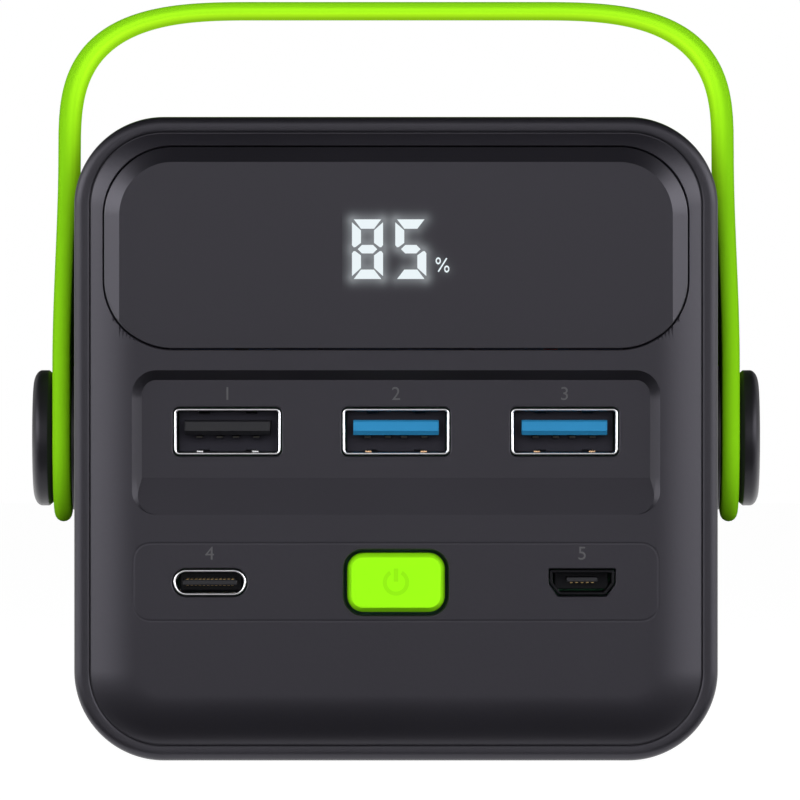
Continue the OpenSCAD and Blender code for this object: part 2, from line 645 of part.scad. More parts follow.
// section of the strap: flat faces and half-round edges, as [across the thickness, along Y]
function strap_section(t) = concat(
  [for (k = [0:end_steps]) let (a = 180 * k / end_steps) [t / 2 * cos(a), (strap_w - t) / 2 + t / 2 * sin(a)]],
  [for (k = [0:end_steps]) let (a = 180 + 180 * k / end_steps) [t / 2 * cos(a), -(strap_w - t) / 2 + t / 2 * sin(a)]]);
function tangent(i) = let (p = mid_line[max(i - 1, 0)], q = mid_line[min(i + 1, len(mid_line) - 1)],
                           d = [q[0] - p[0], q[1] - p[1]]) d / norm(d);
function strap_ring(i) = let (p = mid_line[i], t = i == 0 ? [0, 1] : i == len(mid_line) - 1 ? [0, -1] : tangent(i))
  [for (s = strap_section(p[2])) [p[0] + s[0] * t[1], s[1], p[1] - s[0] * t[0]]];
module strap() {
  n = 2 * (end_steps + 1);
  m = len(mid_line);
  pts = [for (i = [0:m - 1]) each strap_ring(i)];
  walls = [for (i = [0:m - 2], j = [0:n - 1]) let (a = i * n + j, b = i * n + (j + 1) % n)
           each [[a, a + n, b + n], [a, b + n, b]]];
  polyhedron(pts, concat(walls, [[for (j = [0:n - 1]) j]], [[for (j = [n - 1:-1:0]) (m - 1) * n + j]]));
}
module handle() {
  color(green_c) place() difference() {
    union() {
      strap();
      for (s = [-1, 1]) side(s) translate([0, 0, eye_in]) rotate_extrude() {
        square([strap_w / 2 - leg_t / 2, leg_t]);
        translate([strap_w / 2 - leg_t / 2, leg_t / 2]) circle(leg_t / 2);
      }
    }
    for (s = [-1, 1]) side(s) translate([0, 0, eye_in - over]) cylinder(r = bush_r + bush_play, h = leg_t + 2 * over);
  }
}
cap_in = eye_out + cap_gap;
module pivot_cap(s) {
  stem_in = body_w / 2 - wall - 3.3;
  color(dark_c) place() side(s) difference() {
    union() {
      rotate_extrude() translate([0, cap_in])
        polygon([[0, 0], [cap_r - 0.9, 0], [cap_r - 0.9, 0.35], [cap_r, 0.9], [cap_r, cap_t - 0.9],
                 [cap_r - 0.3, cap_t - 0.35], [cap_r - 1, cap_t], [0, cap_t]]);
      translate([0, 0, stem_in]) cylinder(r = stem_r, h = cap_in - stem_in + 0.3);
    }
    translate([0, 0, stem_in - over]) cylinder(r = 1.25, h = 7 + over);
    tube(bush_r + stem_play, stem_r, cap_in - over, cap_in + 0.25);
  }
}
module pivot_bush(s) {
  color(steel_c) place() side(s) tube(bush_r, stem_r + stem_play, body_w / 2 - bush_seat + 0.05, cap_in + 0.2);
}
module friction_washer(s) {
  color([0.6, 0.6, 0.55]) place() side(s) tube(9, bush_r + 0.1, body_w / 2, body_w / 2 + washer_t);
}
screw_seat = body_w / 2 - wall - 3;
module screw_washer(s) { color(steel_c) place() side(s) tube(4.2, 1.6, screw_seat - 1.2, screw_seat - 0.35); }
module pivot_screw(s) {
  color(steel_c) place() side(s) pan_screw(screw_seat - 1.2, 1.2, 2.8, 1.8, 7);
}

// ---- feet ----
foot_r = 4.5;
foot_rim = 1.2;                             // how far the thicker place under a foot reaches past it
foot_x = 22;
foot_y = body_d / 2 - skirt_d - foot_r - foot_rim - 0.8;
foot_seat = 1.3;
foot_boss = 1.5;                            // the shell is this much thicker under a foot
case_head = 0.9;
module case_screws() {
  color(steel_c) place() at_feet() pan_screw(foot_seat, 1.2, 2.2, case_head, wall + foot_boss - foot_seat + 1.6);
}
module feet() {
  color([0.12, 0.12, 0.12]) place() at_feet() difference() {
    translate([0, 0, -foot_proud]) cylinder(r = foot_r, h = foot_proud + foot_seat);
    translate([0, 0, foot_seat - case_head - 0.1]) cylinder(r = 2.4, h = case_head + over);
  }
}

main_shell();
front_panel();
rear_cover();
display_window();
display_block();
digit_guides();
display_board();
usb_a_shell(-port_pitch);  // usb_a_left_shell
usb_a_shell(0);  // usb_a_middle_shell
usb_a_shell(port_pitch);  // usb_a_right_shell
usb_a_tongue(-port_pitch, "black");  // usb_a_left_tongue
usb_a_tongue(0, [0.1, 0.45, 0.75]);  // usb_a_middle_tongue
usb_a_tongue(port_pitch, [0.1, 0.45, 0.75]);  // usb_a_right_tongue
usb_a_contacts(-port_pitch);  // usb_a_left_contacts
usb_a_contacts(0);  // usb_a_middle_contacts
usb_a_contacts(port_pitch);  // usb_a_right_contacts
usb_c_shell();
usb_c_tongue();
usb_c_contacts();
micro_usb_shell();
micro_usb_tongue();
micro_usb_contacts();
power_button();
switch_plunger();
switch_body();
port_board();
board_screws();
power_inductors();
power_capacitors();
power_chips();
chassis_tray();
top_holder();
cell(0);  // cell_1
cell(1);  // cell_2
cell(2);  // cell_3
cell(3);  // cell_4
cell(4);  // cell_5
cell(5);  // cell_6
cell_strips();
lead_positive();
lead_negative();
handle();
pivot_cap(-1);  // pivot_cap_left
pivot_cap(1);  // pivot_cap_right
pivot_bush(-1);  // pivot_bush_left
pivot_bush(1);  // pivot_bush_right
friction_washer(-1);  // friction_washer_left
friction_washer(1);  // friction_washer_right
pivot_screw(-1);  // pivot_screw_left
pivot_screw(1);  // pivot_screw_right
screw_washer(-1);  // screw_washer_left
screw_washer(1);  // screw_washer_right
case_screws();
feet();
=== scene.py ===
"""Looks of the pocket power station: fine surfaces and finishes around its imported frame."""

import math

import bmesh
import bpy
import numpy as np
from mathutils import Matrix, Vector
from mathutils.geometry import delaunay_2d_cdt


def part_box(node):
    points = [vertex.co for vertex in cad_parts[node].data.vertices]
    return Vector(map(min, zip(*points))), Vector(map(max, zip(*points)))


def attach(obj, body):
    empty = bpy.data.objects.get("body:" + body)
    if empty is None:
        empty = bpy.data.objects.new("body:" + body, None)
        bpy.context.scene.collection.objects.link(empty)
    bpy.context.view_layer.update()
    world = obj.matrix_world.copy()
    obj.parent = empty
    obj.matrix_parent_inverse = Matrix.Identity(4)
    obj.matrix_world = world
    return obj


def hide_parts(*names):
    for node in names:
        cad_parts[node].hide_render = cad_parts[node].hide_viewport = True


bl_info = {
    "name": "Pocket power station looks",
    "version": (1, 0, 0),
    "blender": (4, 5, 0),
    "location": "View3D > Sidebar > Power station",
    "description": "Builds the visible surfaces, finishes and studio of a pocket power station",
    "category": "Object",
}

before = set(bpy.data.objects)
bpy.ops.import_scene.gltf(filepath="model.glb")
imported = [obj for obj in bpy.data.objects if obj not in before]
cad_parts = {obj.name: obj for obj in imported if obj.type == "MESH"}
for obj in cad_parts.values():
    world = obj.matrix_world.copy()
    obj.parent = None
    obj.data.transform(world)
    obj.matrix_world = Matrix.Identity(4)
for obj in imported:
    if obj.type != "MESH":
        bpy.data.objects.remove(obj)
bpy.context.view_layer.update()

MM = 0.001
SHELL_LO, SHELL_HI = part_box("main_shell")
MIDDLE = np.array((SHELL_LO + SHELL_HI) / 2) / MM
WIDTH = (SHELL_HI.x - SHELL_LO.x) / MM
HEIGHT = (SHELL_HI.z - SHELL_LO.z) / MM
FACE = MIDDLE[1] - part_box("front_panel")[0].y / MM

# case, in millimetres from the middle of the body
CORNER = 11.0
WALL = 1.9
INSET = 2.1
PANEL = (WIDTH - 2 * INSET, HEIGHT - 2 * INSET, CORNER - INSET)
CROWN_W = 6.0
CROWN_DROP = 1.8
CROWN_R = (CROWN_W**2 + CROWN_DROP**2) / (2 * CROWN_DROP)
SKIRT = [(0, CROWN_DROP + 5), (0, CROWN_DROP)]
RIM_DEPTH = 1.9
WINDOW = (WIDTH - 7.5, 24.7, 8.4)
WINDOW_H = HEIGHT / 2 - 3.75 - WINDOW[1] / 2
WINDOW_BEVEL = 1.85
WINDOW_EDGE = CROWN_R - math.sqrt(CROWN_R**2 - (CROWN_W - 1.65) ** 2)
WINDOW_TALL = (WINDOW[0], WINDOW[1] + 2 * WINDOW[2] + 6, WINDOW[2])
POCKET = (64.7, 17.7, 3.0)
POCKET_H = -0.45
POCKET_DEPTH = 1.3
POCKET_WALL = 1.2
POCKET_RAMP = 4.5
PITCH = 20.67
UPPER_H = 0.87
LOWER_H = -17.6
LOWER_X = 22.8
ROW = (64.7, 9.9, 2.3)
ROW_H = LOWER_H + 0.05
USB_A = (13.1, 5.72)
USB_C = (8.94, 3.16)
SHEET = 0.3
BUTTON = (12.0, 7.25, 2.0)
BUTTON_PROUD = 0.6
SIGN_THICK = 0.008
DIGIT_H = 7.3
DIGIT_MID = WINDOW_H - 0.18
DIGIT_X = ((-0.478 * DIGIT_H, "8"), (0.248 * DIGIT_H, "5"))
PERCENT = (0.78 * DIGIT_H, DIGIT_MID - DIGIT_H / 2 + 1.72)
DIGIT_PROUD = 0.014
NUMBER_SIZE = 2.3
SHEEN = (0.90, 0.87, 1.0, 1.0)
GRAIN_HEIGHT = 0.00005


# ---------------------------------------------------------------- settings


def colour_setting(name, text, value):
    """One colour that a user may change."""
    return bpy.props.FloatVectorProperty(
        name=name, description=text, subtype="COLOR", size=3, min=0, max=1, default=value
    )


class CaseSettings(bpy.types.PropertyGroup):
    """Colours and grain of the moulded case."""

    shell: colour_setting("Shell", "Colour of the sleeve around the body", (0.0072, 0.0068, 0.0086))
    panel: colour_setting("Panels", "Colour of the front and back mouldings", (0.0075, 0.0070, 0.0092))
    window: colour_setting("Window", "Colour of the display window", (0.0070, 0.0066, 0.0086))
    glow: colour_setting("Digits", "Colour of the lit digits", (0.88, 0.96, 1.0))
    mark: colour_setting("Marks", "Colour of the printed numbers", (0.064, 0.063, 0.068))
    grain: bpy.props.FloatProperty(
        name="Grain", description="Strength of the moulded grain", default=0.12, min=0, max=1
    )


class TrimSettings(bpy.types.PropertyGroup):
    """Colours of the handle, button and sockets."""

    strap: colour_setting("Strap", "Colour of the carry strap", (0.235, 0.62, 0.009))
    button: colour_setting("Button", "Colour of the power button", (0.33, 1.0, 0.008))
    tongue: colour_setting("Socket tongue", "Colour of the two fast sockets", (0.022, 0.21, 0.43))
    steel: colour_setting("Socket steel", "Colour of the plated shells", (0.86, 0.86, 0.88))


class StageSettings(bpy.types.PropertyGroup):
    """Light and camera of the studio."""

    side_power: bpy.props.FloatProperty(
        name="Side boxes", description="Power of each side lamp", default=3.4, min=0, unit="POWER"
    )
    front_power: bpy.props.FloatProperty(
        name="Front lamp", description="Power of the front lamp", default=18.0, min=0, unit="POWER"
    )
    distance: bpy.props.FloatProperty(
        name="Camera distance",
        description="From the lens to the front face",
        default=1.2,
        min=0.3,
        unit="LENGTH",
    )


# ---------------------------------------------------------------- surfaces


def outline(w, h, r, steps=14, side=1):
    """Closed outline of a rounded rectangle, with its outward normals.
    Each corner is a quarter circle, centre + r (cos a, sin a), and each side is cut into equal chords."""
    a = np.linspace(0, np.pi / 2, steps + 1)
    signs = [(1, 1), (-1, 1), (-1, -1), (1, -1)]
    points, normals = [], []
    for k, (sx, sh) in enumerate(signs):
        n = np.stack([np.cos(a + k * np.pi / 2), np.sin(a + k * np.pi / 2)], 1)
        c = np.array([sx * (w / 2 - r), sh * (h / 2 - r)])
        tx, th = signs[(k + 1) % 4]
        after = np.array([tx * (w / 2 - r), th * (h / 2 - r)]) + r * n[-1]
        t = np.linspace(0, 1, side + 1)[1:-1, None]
        points += [c + r * n, (c + r * n[-1]) * (1 - t) + after * t]
        normals += [n, np.repeat(n[-1:], side - 1, 0)]
    return np.concatenate(points), np.concatenate(normals)


def inside(points, w, h, r):
    """How far a point lies inside a rounded rectangle: r less the distance to the box of its corner centres."""
    q = np.abs(points) - np.array([w / 2 - r, h / 2 - r])
    return r - np.hypot(np.maximum(q[..., 0], 0), np.maximum(q[..., 1], 0)) - np.minimum(q.max(-1), 0)


def grid_faces(n, m, wrap=True):
    """Quads between neighbouring rows i, i + 1 and columns j, j + 1 of an n by m grid."""
    i = np.arange(n if wrap else n - 1)[:, None]
    j = np.arange(m - 1)[None, :]
    k = (i + 1) % n
    return np.stack([i * m + j, k * m + j, k * m + j + 1, i * m + j + 1], -1).reshape(-1, 4)


def on_face(flat, depth):
    """Points (x, h) as (x, depth - face, h), so that each lies that deep behind the front of the case."""
    y = np.broadcast_to(depth, flat.shape[:-1]) - FACE
    return np.stack([flat[..., 0], y, flat[..., 1]], -1).reshape(-1, 3)


def carried(points, normals, profile):
    """A profile of (outward step, depth) carried round an outline: point + normal times step."""
    profile = np.asarray(profile, float)
    flat = points[:, None] + normals[:, None] * profile[None, :, :1]
    return on_face(flat, profile[None, :, 1]), grid_faces(len(points), len(profile))


def walled(points, normals, steps, depths):
    """A wall round an outline: its outward steps are the same all round, and its depths change with the point."""
    flat = points[:, None] + normals[:, None] * np.array(steps)[None, :, None]
    return on_face(flat, np.stack(depths, 1)), grid_faces(len(points), len(steps))


def arc(cx, cy, r, a0, a1, steps):
    """Points of a circle arc, centre + r (cos a, sin a), angles in degrees."""
    a = np.radians(np.linspace(a0, a1, steps + 1))
    return [(cx + r * math.cos(t), cy + r * math.sin(t)) for t in a]


def within(points, loop):
    """Whether points lie in a closed loop: an odd number of its chords crosses the ray towards +x."""
    a, b = loop, np.roll(loop, -1, 0)
    x, h = points[:, :1], points[:, 1:]
    spans = (a[:, 1] > h) != (b[:, 1] > h)
    rise = np.where(b[:, 1] == a[:, 1], 1, b[:, 1] - a[:, 1])
    return (spans & (x < a[:, 0] + (h - a[:, 1]) * (b[:, 0] - a[:, 0]) / rise)).sum(1) % 2 == 1


def filled(edge, holes, loops, depth, extra=()):
    """A height field y = depth(x, h) on the Delaunay triangles of closed loops, inside an edge and outside holes."""
    loops = [edge, *holes, *loops]
    points, edges = [], []
    for loop in loops:
        k = len(points)
        n = len(loop)
        points += [tuple(p) for p in loop]
        edges += [(k + i, k + (i + 1) % n) for i in range(n)]
    for line in extra:
        k = len(points)
        points += [tuple(p) for p in line]
        edges += [(k + i, k + i + 1) for i in range(len(line) - 1)]
    made = delaunay_2d_cdt(points, edges, [], 0, 1e-5)
    flat = np.array([tuple(p) for p in made[0]])
    faces = np.array([list(f) for f in made[2]])
    middle = flat[faces].mean(1)
    keep = within(middle, edge)
    for hole in holes:
        keep &= ~within(middle, hole)
    return on_face(flat, depth(flat)), faces[keep]


def crown_fall(points):
    """Fall of the crowned border: a circle of radius R, R - sqrt(R² - v²), v being the way past the flat."""
    v = np.clip(CROWN_W - inside(points, *PANEL), 0, CROWN_W)
    return CROWN_R - np.sqrt(CROWN_R**2 - v**2)


def crown_loops(points, normals):
    """The panel's outline again and again across its crowned border, each time a step further in."""
    return [points - normals * t for t in np.linspace(0, CROWN_W, 15)[1:]]


def revolved(profile, side, steps=96):
    """A profile of (radius, way out) turned round the side axis: (side out, r cos a, r sin a)."""
    profile = np.asarray(profile, float)
    a = np.linspace(0, 2 * np.pi, steps, endpoint=False)[:, None]
    r, out = profile[None, :, 0], profile[None, :, 1]
    grid = np.stack([side * (out + 0 * a), r * np.cos(a), r * np.sin(a)], -1)
    faces = grid_faces(steps, len(profile))
    return grid.reshape(-1, 3), faces if side < 0 else faces[:, ::-1]


def joined(*parts):
    """Several surfaces as one, by shifting each one's vertex numbers."""
    verts, faces, k = [], [], 0
    for v, f in parts:
        verts.append(v)
        faces += [[i + k for i in face] for face in (f if isinstance(f, list) else f.tolist())]
        k += len(v)
    return np.concatenate(verts), faces


def moved(part, x=0.0, y=0.0, h=0.0):
    """A surface shifted sideways, back and up."""
    return part[0] + np.array([x, y, h]), part[1]


def turned_back(part):
    """A surface of the front turned half round the upright axis, to the back."""
    return part[0] * np.array([-1, -1, 1]), part[1]


def box_surface(lo, hi, edge=0.08):
    """A block with cut edges: each corner is three points, one drawn in along each axis."""
    lo, hi = np.array(lo, float), np.array(hi, float)
    mid, half = (lo + hi) / 2, (hi - lo) / 2
    signs = np.array([(x, y, z) for x in (-1, 1) for y in (-1, 1) for z in (-1, 1)], float)
    pts = np.concatenate([mid + signs * (half - edge * (np.ones(3) - np.eye(3)[k])) for k in range(3)])
    bm = bmesh.new()
    for p in pts:
        bm.verts.new(p)
    bmesh.ops.convex_hull(bm, input=bm.verts)
    bmesh.ops.dissolve_limit(bm, angle_limit=0.02, verts=bm.verts, edges=bm.edges)
    bm.verts.index_update()
    verts = np.array([v.co[:] for v in bm.verts])
    faces = [[v.index for v in f.verts] for f in bm.faces]
    bm.free()
    return verts, faces


def field_normals(mesh, depth, side):
    """Exact normals on the faces of a height field: (dx, -1, dh), the slope of its depth just inside each face."""
    count, faces = len(mesh.loops), len(mesh.polygons)
    index, total = np.empty(count, int), np.empty(faces, int)
    mesh.loops.foreach_get("vertex_index", index)
    mesh.polygons.foreach_get("loop_total", total)
    arrays = {}
    for key, source, field in (
        ("corner", mesh.corner_normals, "vector"),
        ("co", mesh.vertices, "co"),
        ("centre", mesh.polygons, "center"),
        ("flat", mesh.polygons, "normal"),
    ):
        values = np.empty(len(source) * 3, np.float32)
        source.foreach_get(field, values)
        arrays[key] = values.reshape(-1, 3).astype(float)
    face = np.repeat(np.arange(faces), total)
    turn = np.array([side, side, 1.0])
    at = (arrays["co"][index] / MM - MIDDLE) * turn
    towards = ((arrays["centre"] / MM - MIDDLE) * turn)[face]
    p, c = at[:, [0, 2]], towards[:, [0, 2]]
    q = p + 0.03 * (c - p)
    e = 1e-4
    step = np.array([[e, 0], [0, e]])
    dx, dh = [(depth(q + s) - depth(q - s)) / (2 * e) for s in step]
    made = np.stack([dx, -np.ones(count), dh], 1)
    made = made / np.linalg.norm(made, axis=1)[:, None] * turn
    gap = np.abs(at[:, 1] + FACE - depth(p)) > 2e-3
    off = np.bincount(face, gap | ((made * arrays["flat"][face]).sum(1) < 0.2), faces) > 0
    exact = ~off[face]
    edge = np.empty(count, int)
    mesh.loops.foreach_get("edge_index", edge)
    border = (np.bincount(edge, exact, len(mesh.edges)) > 0) & (np.bincount(edge, ~exact, len(mesh.edges)) > 0)
    cut = np.empty(len(mesh.edges), bool)
    mesh.edges.foreach_get("use_edge_sharp", cut)
    mesh.edges.foreach_set("use_edge_sharp", cut | border)
    arrays["corner"][exact] = made[exact]
    mesh.normals_split_custom_set(arrays["corner"].tolist())


def make_piece(name, part, material, body="body", slot=None, replaces=(), sharp=32, depth=None, side=1):
    """Puts a surface given in millimetres into a mesh and welds its seams.
    Its normals are those of its height field where it has one, and are weighted by face area elsewhere."""
    verts, faces = part
    mesh = bpy.data.meshes.new(name)
    mesh.from_pydata((verts + MIDDLE) * MM, [], faces if isinstance(faces, list) else faces.tolist())
    bm = bmesh.new()
    bm.from_mesh(mesh)
    bmesh.ops.remove_doubles(bm, verts=bm.verts, dist=2e-7)
    bmesh.ops.dissolve_degenerate(bm, edges=bm.edges, dist=1e-8)
    bm.to_mesh(mesh)
    bm.free()
    mesh.polygons.foreach_set("use_smooth", np.ones(len(mesh.polygons), bool))
    mesh.set_sharp_from_angle(angle=math.radians(sharp))
    mesh.materials.append(material)
    piece = bpy.data.objects.new(name, mesh)
    bpy.context.scene.collection.objects.link(piece)
    if depth:
        field_normals(mesh, depth, side)
    else:
        weights = piece.modifiers.new("face_weights", "WEIGHTED_NORMAL")
        weights.keep_sharp = True
    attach(piece, body)
    if replaces:
        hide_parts(*replaces)
    return piece


# ---------------------------------------------------------------- finishes


def feed(tree, node, *inputs, **named):
    """Feeds a node's sockets, in order or by name: another node's output is linked and a value is set."""
    for key, value in [*enumerate(inputs), *named.items()]:
        socket = node.inputs[key.replace("_", " ") if isinstance(key, str) else key]
        if isinstance(value, bpy.types.NodeSocket):
            tree.links.new(value, socket)
        else:
            socket.default_value = value
    return node


def put(tree, kind, *inputs, setup=(), **named):
    """Adds a shader node, sets it up and feeds its sockets."""
    node = tree.nodes.new("ShaderNode" + kind)
    for key, value in setup:
        setattr(node, key, value)
    return feed(tree, node, *inputs, **named)


def worked(tree, operation, *inputs, kind="Math"):
    """The first output of a new node that calculates."""
    return put(tree, kind, *inputs, setup=[("operation", operation)]).outputs[0]


def plastic(tree, **named):
    """Feeds the material's main shader."""
    feed(tree, tree.nodes["Principled BSDF"], **named)


def blended(tree, factor, colour, low, high):
    """A colour that goes from low times itself to high times itself, at most 1, with a factor."""
    a, b = [(*[min(c * k, 1) for c in colour], 1) for k in (low, high)]
    return put(tree, "Mix", setup=[("data_type", "RGBA")], Factor=factor, A=a, B=b).outputs["Result"]


def mapped(tree, source, low, high, start, end, shape="SMOOTHSTEP"):
    """A step of a value, smooth unless told otherwise, from one level at low to another at high."""
    setup = [("interpolation_type", shape)]
    ends = {"From_Min": low, "From_Max": high, "To_Min": start, "To_Max": end}
    return put(tree, "MapRange", setup=setup, Value=source, **ends).outputs["Result"]


def grain_group():
    """Node group: the fine pitted grain of moulded plastic, as a height and a slow change of tone."""
    if "moulded_grain" in bpy.data.node_groups:
        return bpy.data.node_groups["moulded_grain"]
    g = bpy.data.node_groups.new("moulded_grain", "ShaderNodeTree")
    for name, value in (("Scale", 1800.0), ("Depth", 1.0)):
        s = g.interface.new_socket(name, in_out="INPUT", socket_type="NodeSocketFloat")
        s.default_value = value
    for name in ("Height", "Tone"):
        g.interface.new_socket(name, in_out="OUTPUT", socket_type="NodeSocketFloat")
    given = g.nodes.new("NodeGroupInput").outputs
    place = put(g, "TexCoord").outputs["Object"]
    fine = put(g, "TexNoise", Vector=place, Scale=given["Scale"], Detail=3).outputs["Fac"]
    cells = put(g, "TexVoronoi", Vector=place, Scale=given["Scale"]).outputs["Distance"]
    slow = put(g, "TexNoise", Vector=place, Scale=45, Detail=4).outputs["Fac"]
    height = worked(g, "MULTIPLY", worked(g, "MULTIPLY_ADD", cells, 0.5, fine), given["Depth"])
    feed(g, g.nodes.new("NodeGroupOutput"), Height=height, Tone=slow)
    return g


def finish(name, colour, rough, grain=1800.0, depth=0.1, spread=0.12, **sockets):
    """A material with moulded grain: its colour and roughness drift slowly, and a bump carries the grain."""
    name = "fine_" + name
    if name in bpy.data.materials:
        return bpy.data.materials[name]
    m = bpy.data.materials.new(name)
    m.use_nodes = True
    t = m.node_tree
    moulded = put(t, "Group", setup=[("node_tree", grain_group())], Scale=grain).outputs
    colours = blended(t, moulded["Tone"], colour, 1 - spread, 1 + spread)
    dull = mapped(t, moulded["Tone"], 0, 1, rough * 0.9, min(rough * 1.1, 1), shape="LINEAR")
    bump = put(t, "Bump", Height=moulded["Height"], Strength=depth, Distance=GRAIN_HEIGHT).outputs["Normal"]
    plastic(t, Base_Color=colours, Roughness=dull, Normal=bump, **sockets)
    return m


def repaint(node, material):
    """Gives a CAD node this material."""
    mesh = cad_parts[node].data
    mesh.materials.clear()
    mesh.materials.append(material)


def case_settings():
    return bpy.context.scene.station_case


def trim_settings():
    return bpy.context.scene.station_trim


def shell_finish():
    s = case_settings()
    return finish("shell_plastic", s.shell, 0.42, depth=s.grain, Specular_Tint=SHEEN)


def panel_finish():
    s = case_settings()
    return finish("panel_plastic", s.panel, 0.40, depth=s.grain, Specular_Tint=SHEEN)


def dark_finish():
    return finish("black_plastic", (0.008, 0.008, 0.010), 0.5, Specular_IOR_Level=0.35)


def steel_finish():
    return finish("socket_steel", trim_settings().steel, 0.28, grain=900, depth=0.05, Metallic=1.0)


# ---------------------------------------------------------------- pieces


class MakeShell(bpy.types.Operator):
    """Builds the sleeve around the body, with a rounded rim, a narrow land and a groove at each end."""

    bl_idname = "station.shell"
    bl_label = "Shell"

    def execute(self, context):
        points, normals = outline(WIDTH, HEIGHT, CORNER, 40, 10)
        r = 1.1
        z = RIM_DEPTH
        half = (
            [(0, FACE), (0, z + 6), (0, z + r + 0.6)]
            + arc(-r, z + r, r, 0, -90, 14)
            + [(-r - 0.22, z), (-WALL + 0.3, z + 0.01)]
            + [(-WALL + 0.14, z + 0.04), (-WALL + 0.04, z + 0.1), (-WALL, z + 0.2)]
            + [(-WALL - 0.05, z + 0.24), (-INSET - 0.1, z + 0.25)]
        )
        front = carried(points, normals, half)
        both = joined(front, turned_back(front))
        make_piece("sleeve", both, shell_finish(), slot="shell_plastic", replaces=["main_shell"])
        return {"FINISHED"}


OPENINGS = [
    *[((USB_A[0] + 0.3, USB_A[1] + 0.3, 0.8), x, UPPER_H, POCKET_DEPTH) for x in (-PITCH, 0.0, PITCH)],
    ((USB_C[0] + 0.3, USB_C[1] + 0.3, USB_C[1] / 2 + 0.14), -LOWER_X, LOWER_H, 0.0),
    ((BUTTON[0] + 0.8, BUTTON[1] + 0.8, BUTTON[2] + 0.4), 0.0, LOWER_H, 0.0),
]


def micro_outline(grow=0.0, steps=4):
    """Outline of the small socket: a strip whose lower corners are cut, each corner a small arc."""
    w, h, r = 3.95 + grow, 1.525 + grow, 0.25
    corners = [(w, h), (-w, h), (-w, -0.1 * h), (1.1 - w, -h), (w - 1.1, -h), (w, -0.1 * h)]
    c = np.array(corners)
    before, after = np.roll(c, 1, 0), np.roll(c, -1, 0)
    a = (before - c) / np.linalg.norm(before - c, axis=1)[:, None]
    b = (after - c) / np.linalg.norm(after - c, axis=1)[:, None]
    t = np.linspace(0, 1, steps + 1)[None, :, None]
    curve = c[:, None] + r * (a[:, None] * (1 - t) ** 2 + b[:, None] * t**2)
    points = curve.reshape(-1, 2)
    tangent = np.roll(points, -1, 0) - np.roll(points, 1, 0)
    normals = np.stack([tangent[:, 1], -tangent[:, 0]], 1)
    return points, normals / np.linalg.norm(normals, axis=1)[:, None]


def pocket_fall(points):
    """Depth of the recess: the smaller of its sloped wall and the ramp of its floor."""
    p = points - np.array([0, POCKET_H])
    wall = np.clip(inside(p, *POCKET) / POCKET_WALL, 0, 1)
    ramp = np.clip((p[..., 1] + POCKET[1] / 2) / POCKET_RAMP, 0, 1)
    return POCKET_DEPTH * np.minimum(wall, ramp)


def row_fall(points):
    """Depth of the engraved line round the lower row: a shallow valley along a rounded rectangle."""
    d = inside(points - np.array([0, ROW_H]), *ROW)
    return 0.022 * np.clip(1 - np.abs(d - 0.2) / 0.2, 0, 1)


def front_fall(points):
    """Depth of the front moulding: its crowned border, its recess and its engraved line together."""
    return crown_fall(points) + pocket_fall(points) + row_fall(points)


class MakeFront(bpy.types.Operator):
    """Builds the crowned front moulding with its recess, its engraved line and its openings."""

    bl_idname = "station.front"
    bl_label = "Front moulding"

    def execute(self, context):
        points, normals = outline(*PANEL, 24, 24)
        lip, seam = 0.12, 0.12
        loops = crown_loops(points, normals)
        shift = np.array([0, POCKET_H])
        loops.append(outline(*POCKET, 12, 8)[0] + shift)
        for t in (0, 0.2, 0.4):
            row, row_n = outline(*ROW, 8, 2)
            loops.append(row - row_n * t + np.array([0, ROW_H]))
        low = POCKET_H - POCKET[1] / 2
        t = np.linspace(0, POCKET_RAMP, 13)
        k = POCKET_WALL / POCKET_RAMP
        r = POCKET[2]
        edge_x = POCKET[0] / 2 - r + np.sqrt(np.maximum((r - k * t) ** 2 - np.minimum(t - r, 0) ** 2, 0))
        crease = np.stack([edge_x, low + t], 1)
        floor = (POCKET[0] - 2 * POCKET_WALL, POCKET[1] - 2 * POCKET_WALL, r - POCKET_WALL)
        top = outline(*floor, 10, 8)[0] + shift
        top = top[top[:, 1] > low + POCKET_RAMP + 0.05]
        ring = top[np.argsort(np.arctan2(top[:, 0], top[:, 1] - low))]
        walk = np.concatenate([crease * [-1, 1], ring, crease[::-1]])
        ramp_line = crease[-1] * np.array([[-1, 1], [1, 1]])

        window, window_n = outline(*WINDOW, 24, 24)
        window = window + np.array([0, WINDOW_H])
        fall = crown_fall(window + window_n * (seam + lip))
        seat = walled(window, window_n, (seam + lip, seam, seam), (fall, fall + lip, 0 * fall + 3.2))
        parts = [carried(points, normals, SKIRT), seat]
        holes = [window + window_n * (seam + lip)]
        cuts = [(outline(*size, 10, 2), x, up, d) for size, x, up, d in OPENINGS]
        for (edge, out), x, up, d in cuts + [(micro_outline(0.15), LOWER_X, LOWER_H, 0.0)]:
            holes.append(edge + out * lip + np.array([x, up]))
            parts.append(moved(carried(edge, out, [(lip, d), (0, d + lip), (0, d + 3)]), x, 0, up))
        parts.insert(0, filled(points, holes, loops, front_fall, [walk, ramp_line]))
        kept = {"slot": "panel_plastic", "replaces": ["front_panel"]}
        make_piece("front_moulding", joined(*parts), panel_finish(), sharp=20, depth=front_fall, **kept)
        return {"FINISHED"}


class MakeBack(bpy.types.Operator):
    """Builds the crowned back moulding."""

    bl_idname = "station.back"
    bl_label = "Back moulding"

    def execute(self, context):
        points, normals = outline(*PANEL, 24, 24)
        face = filled(points, [], crown_loops(points, normals), crown_fall)
        part = turned_back(joined(face, carried(points, normals, SKIRT)))
        kept = {"slot": "panel_plastic", "replaces": ["rear_cover"]}
        make_piece("back_moulding", part, panel_finish(), sharp=20, depth=crown_fall, side=-1, **kept)
        return {"FINISHED"}


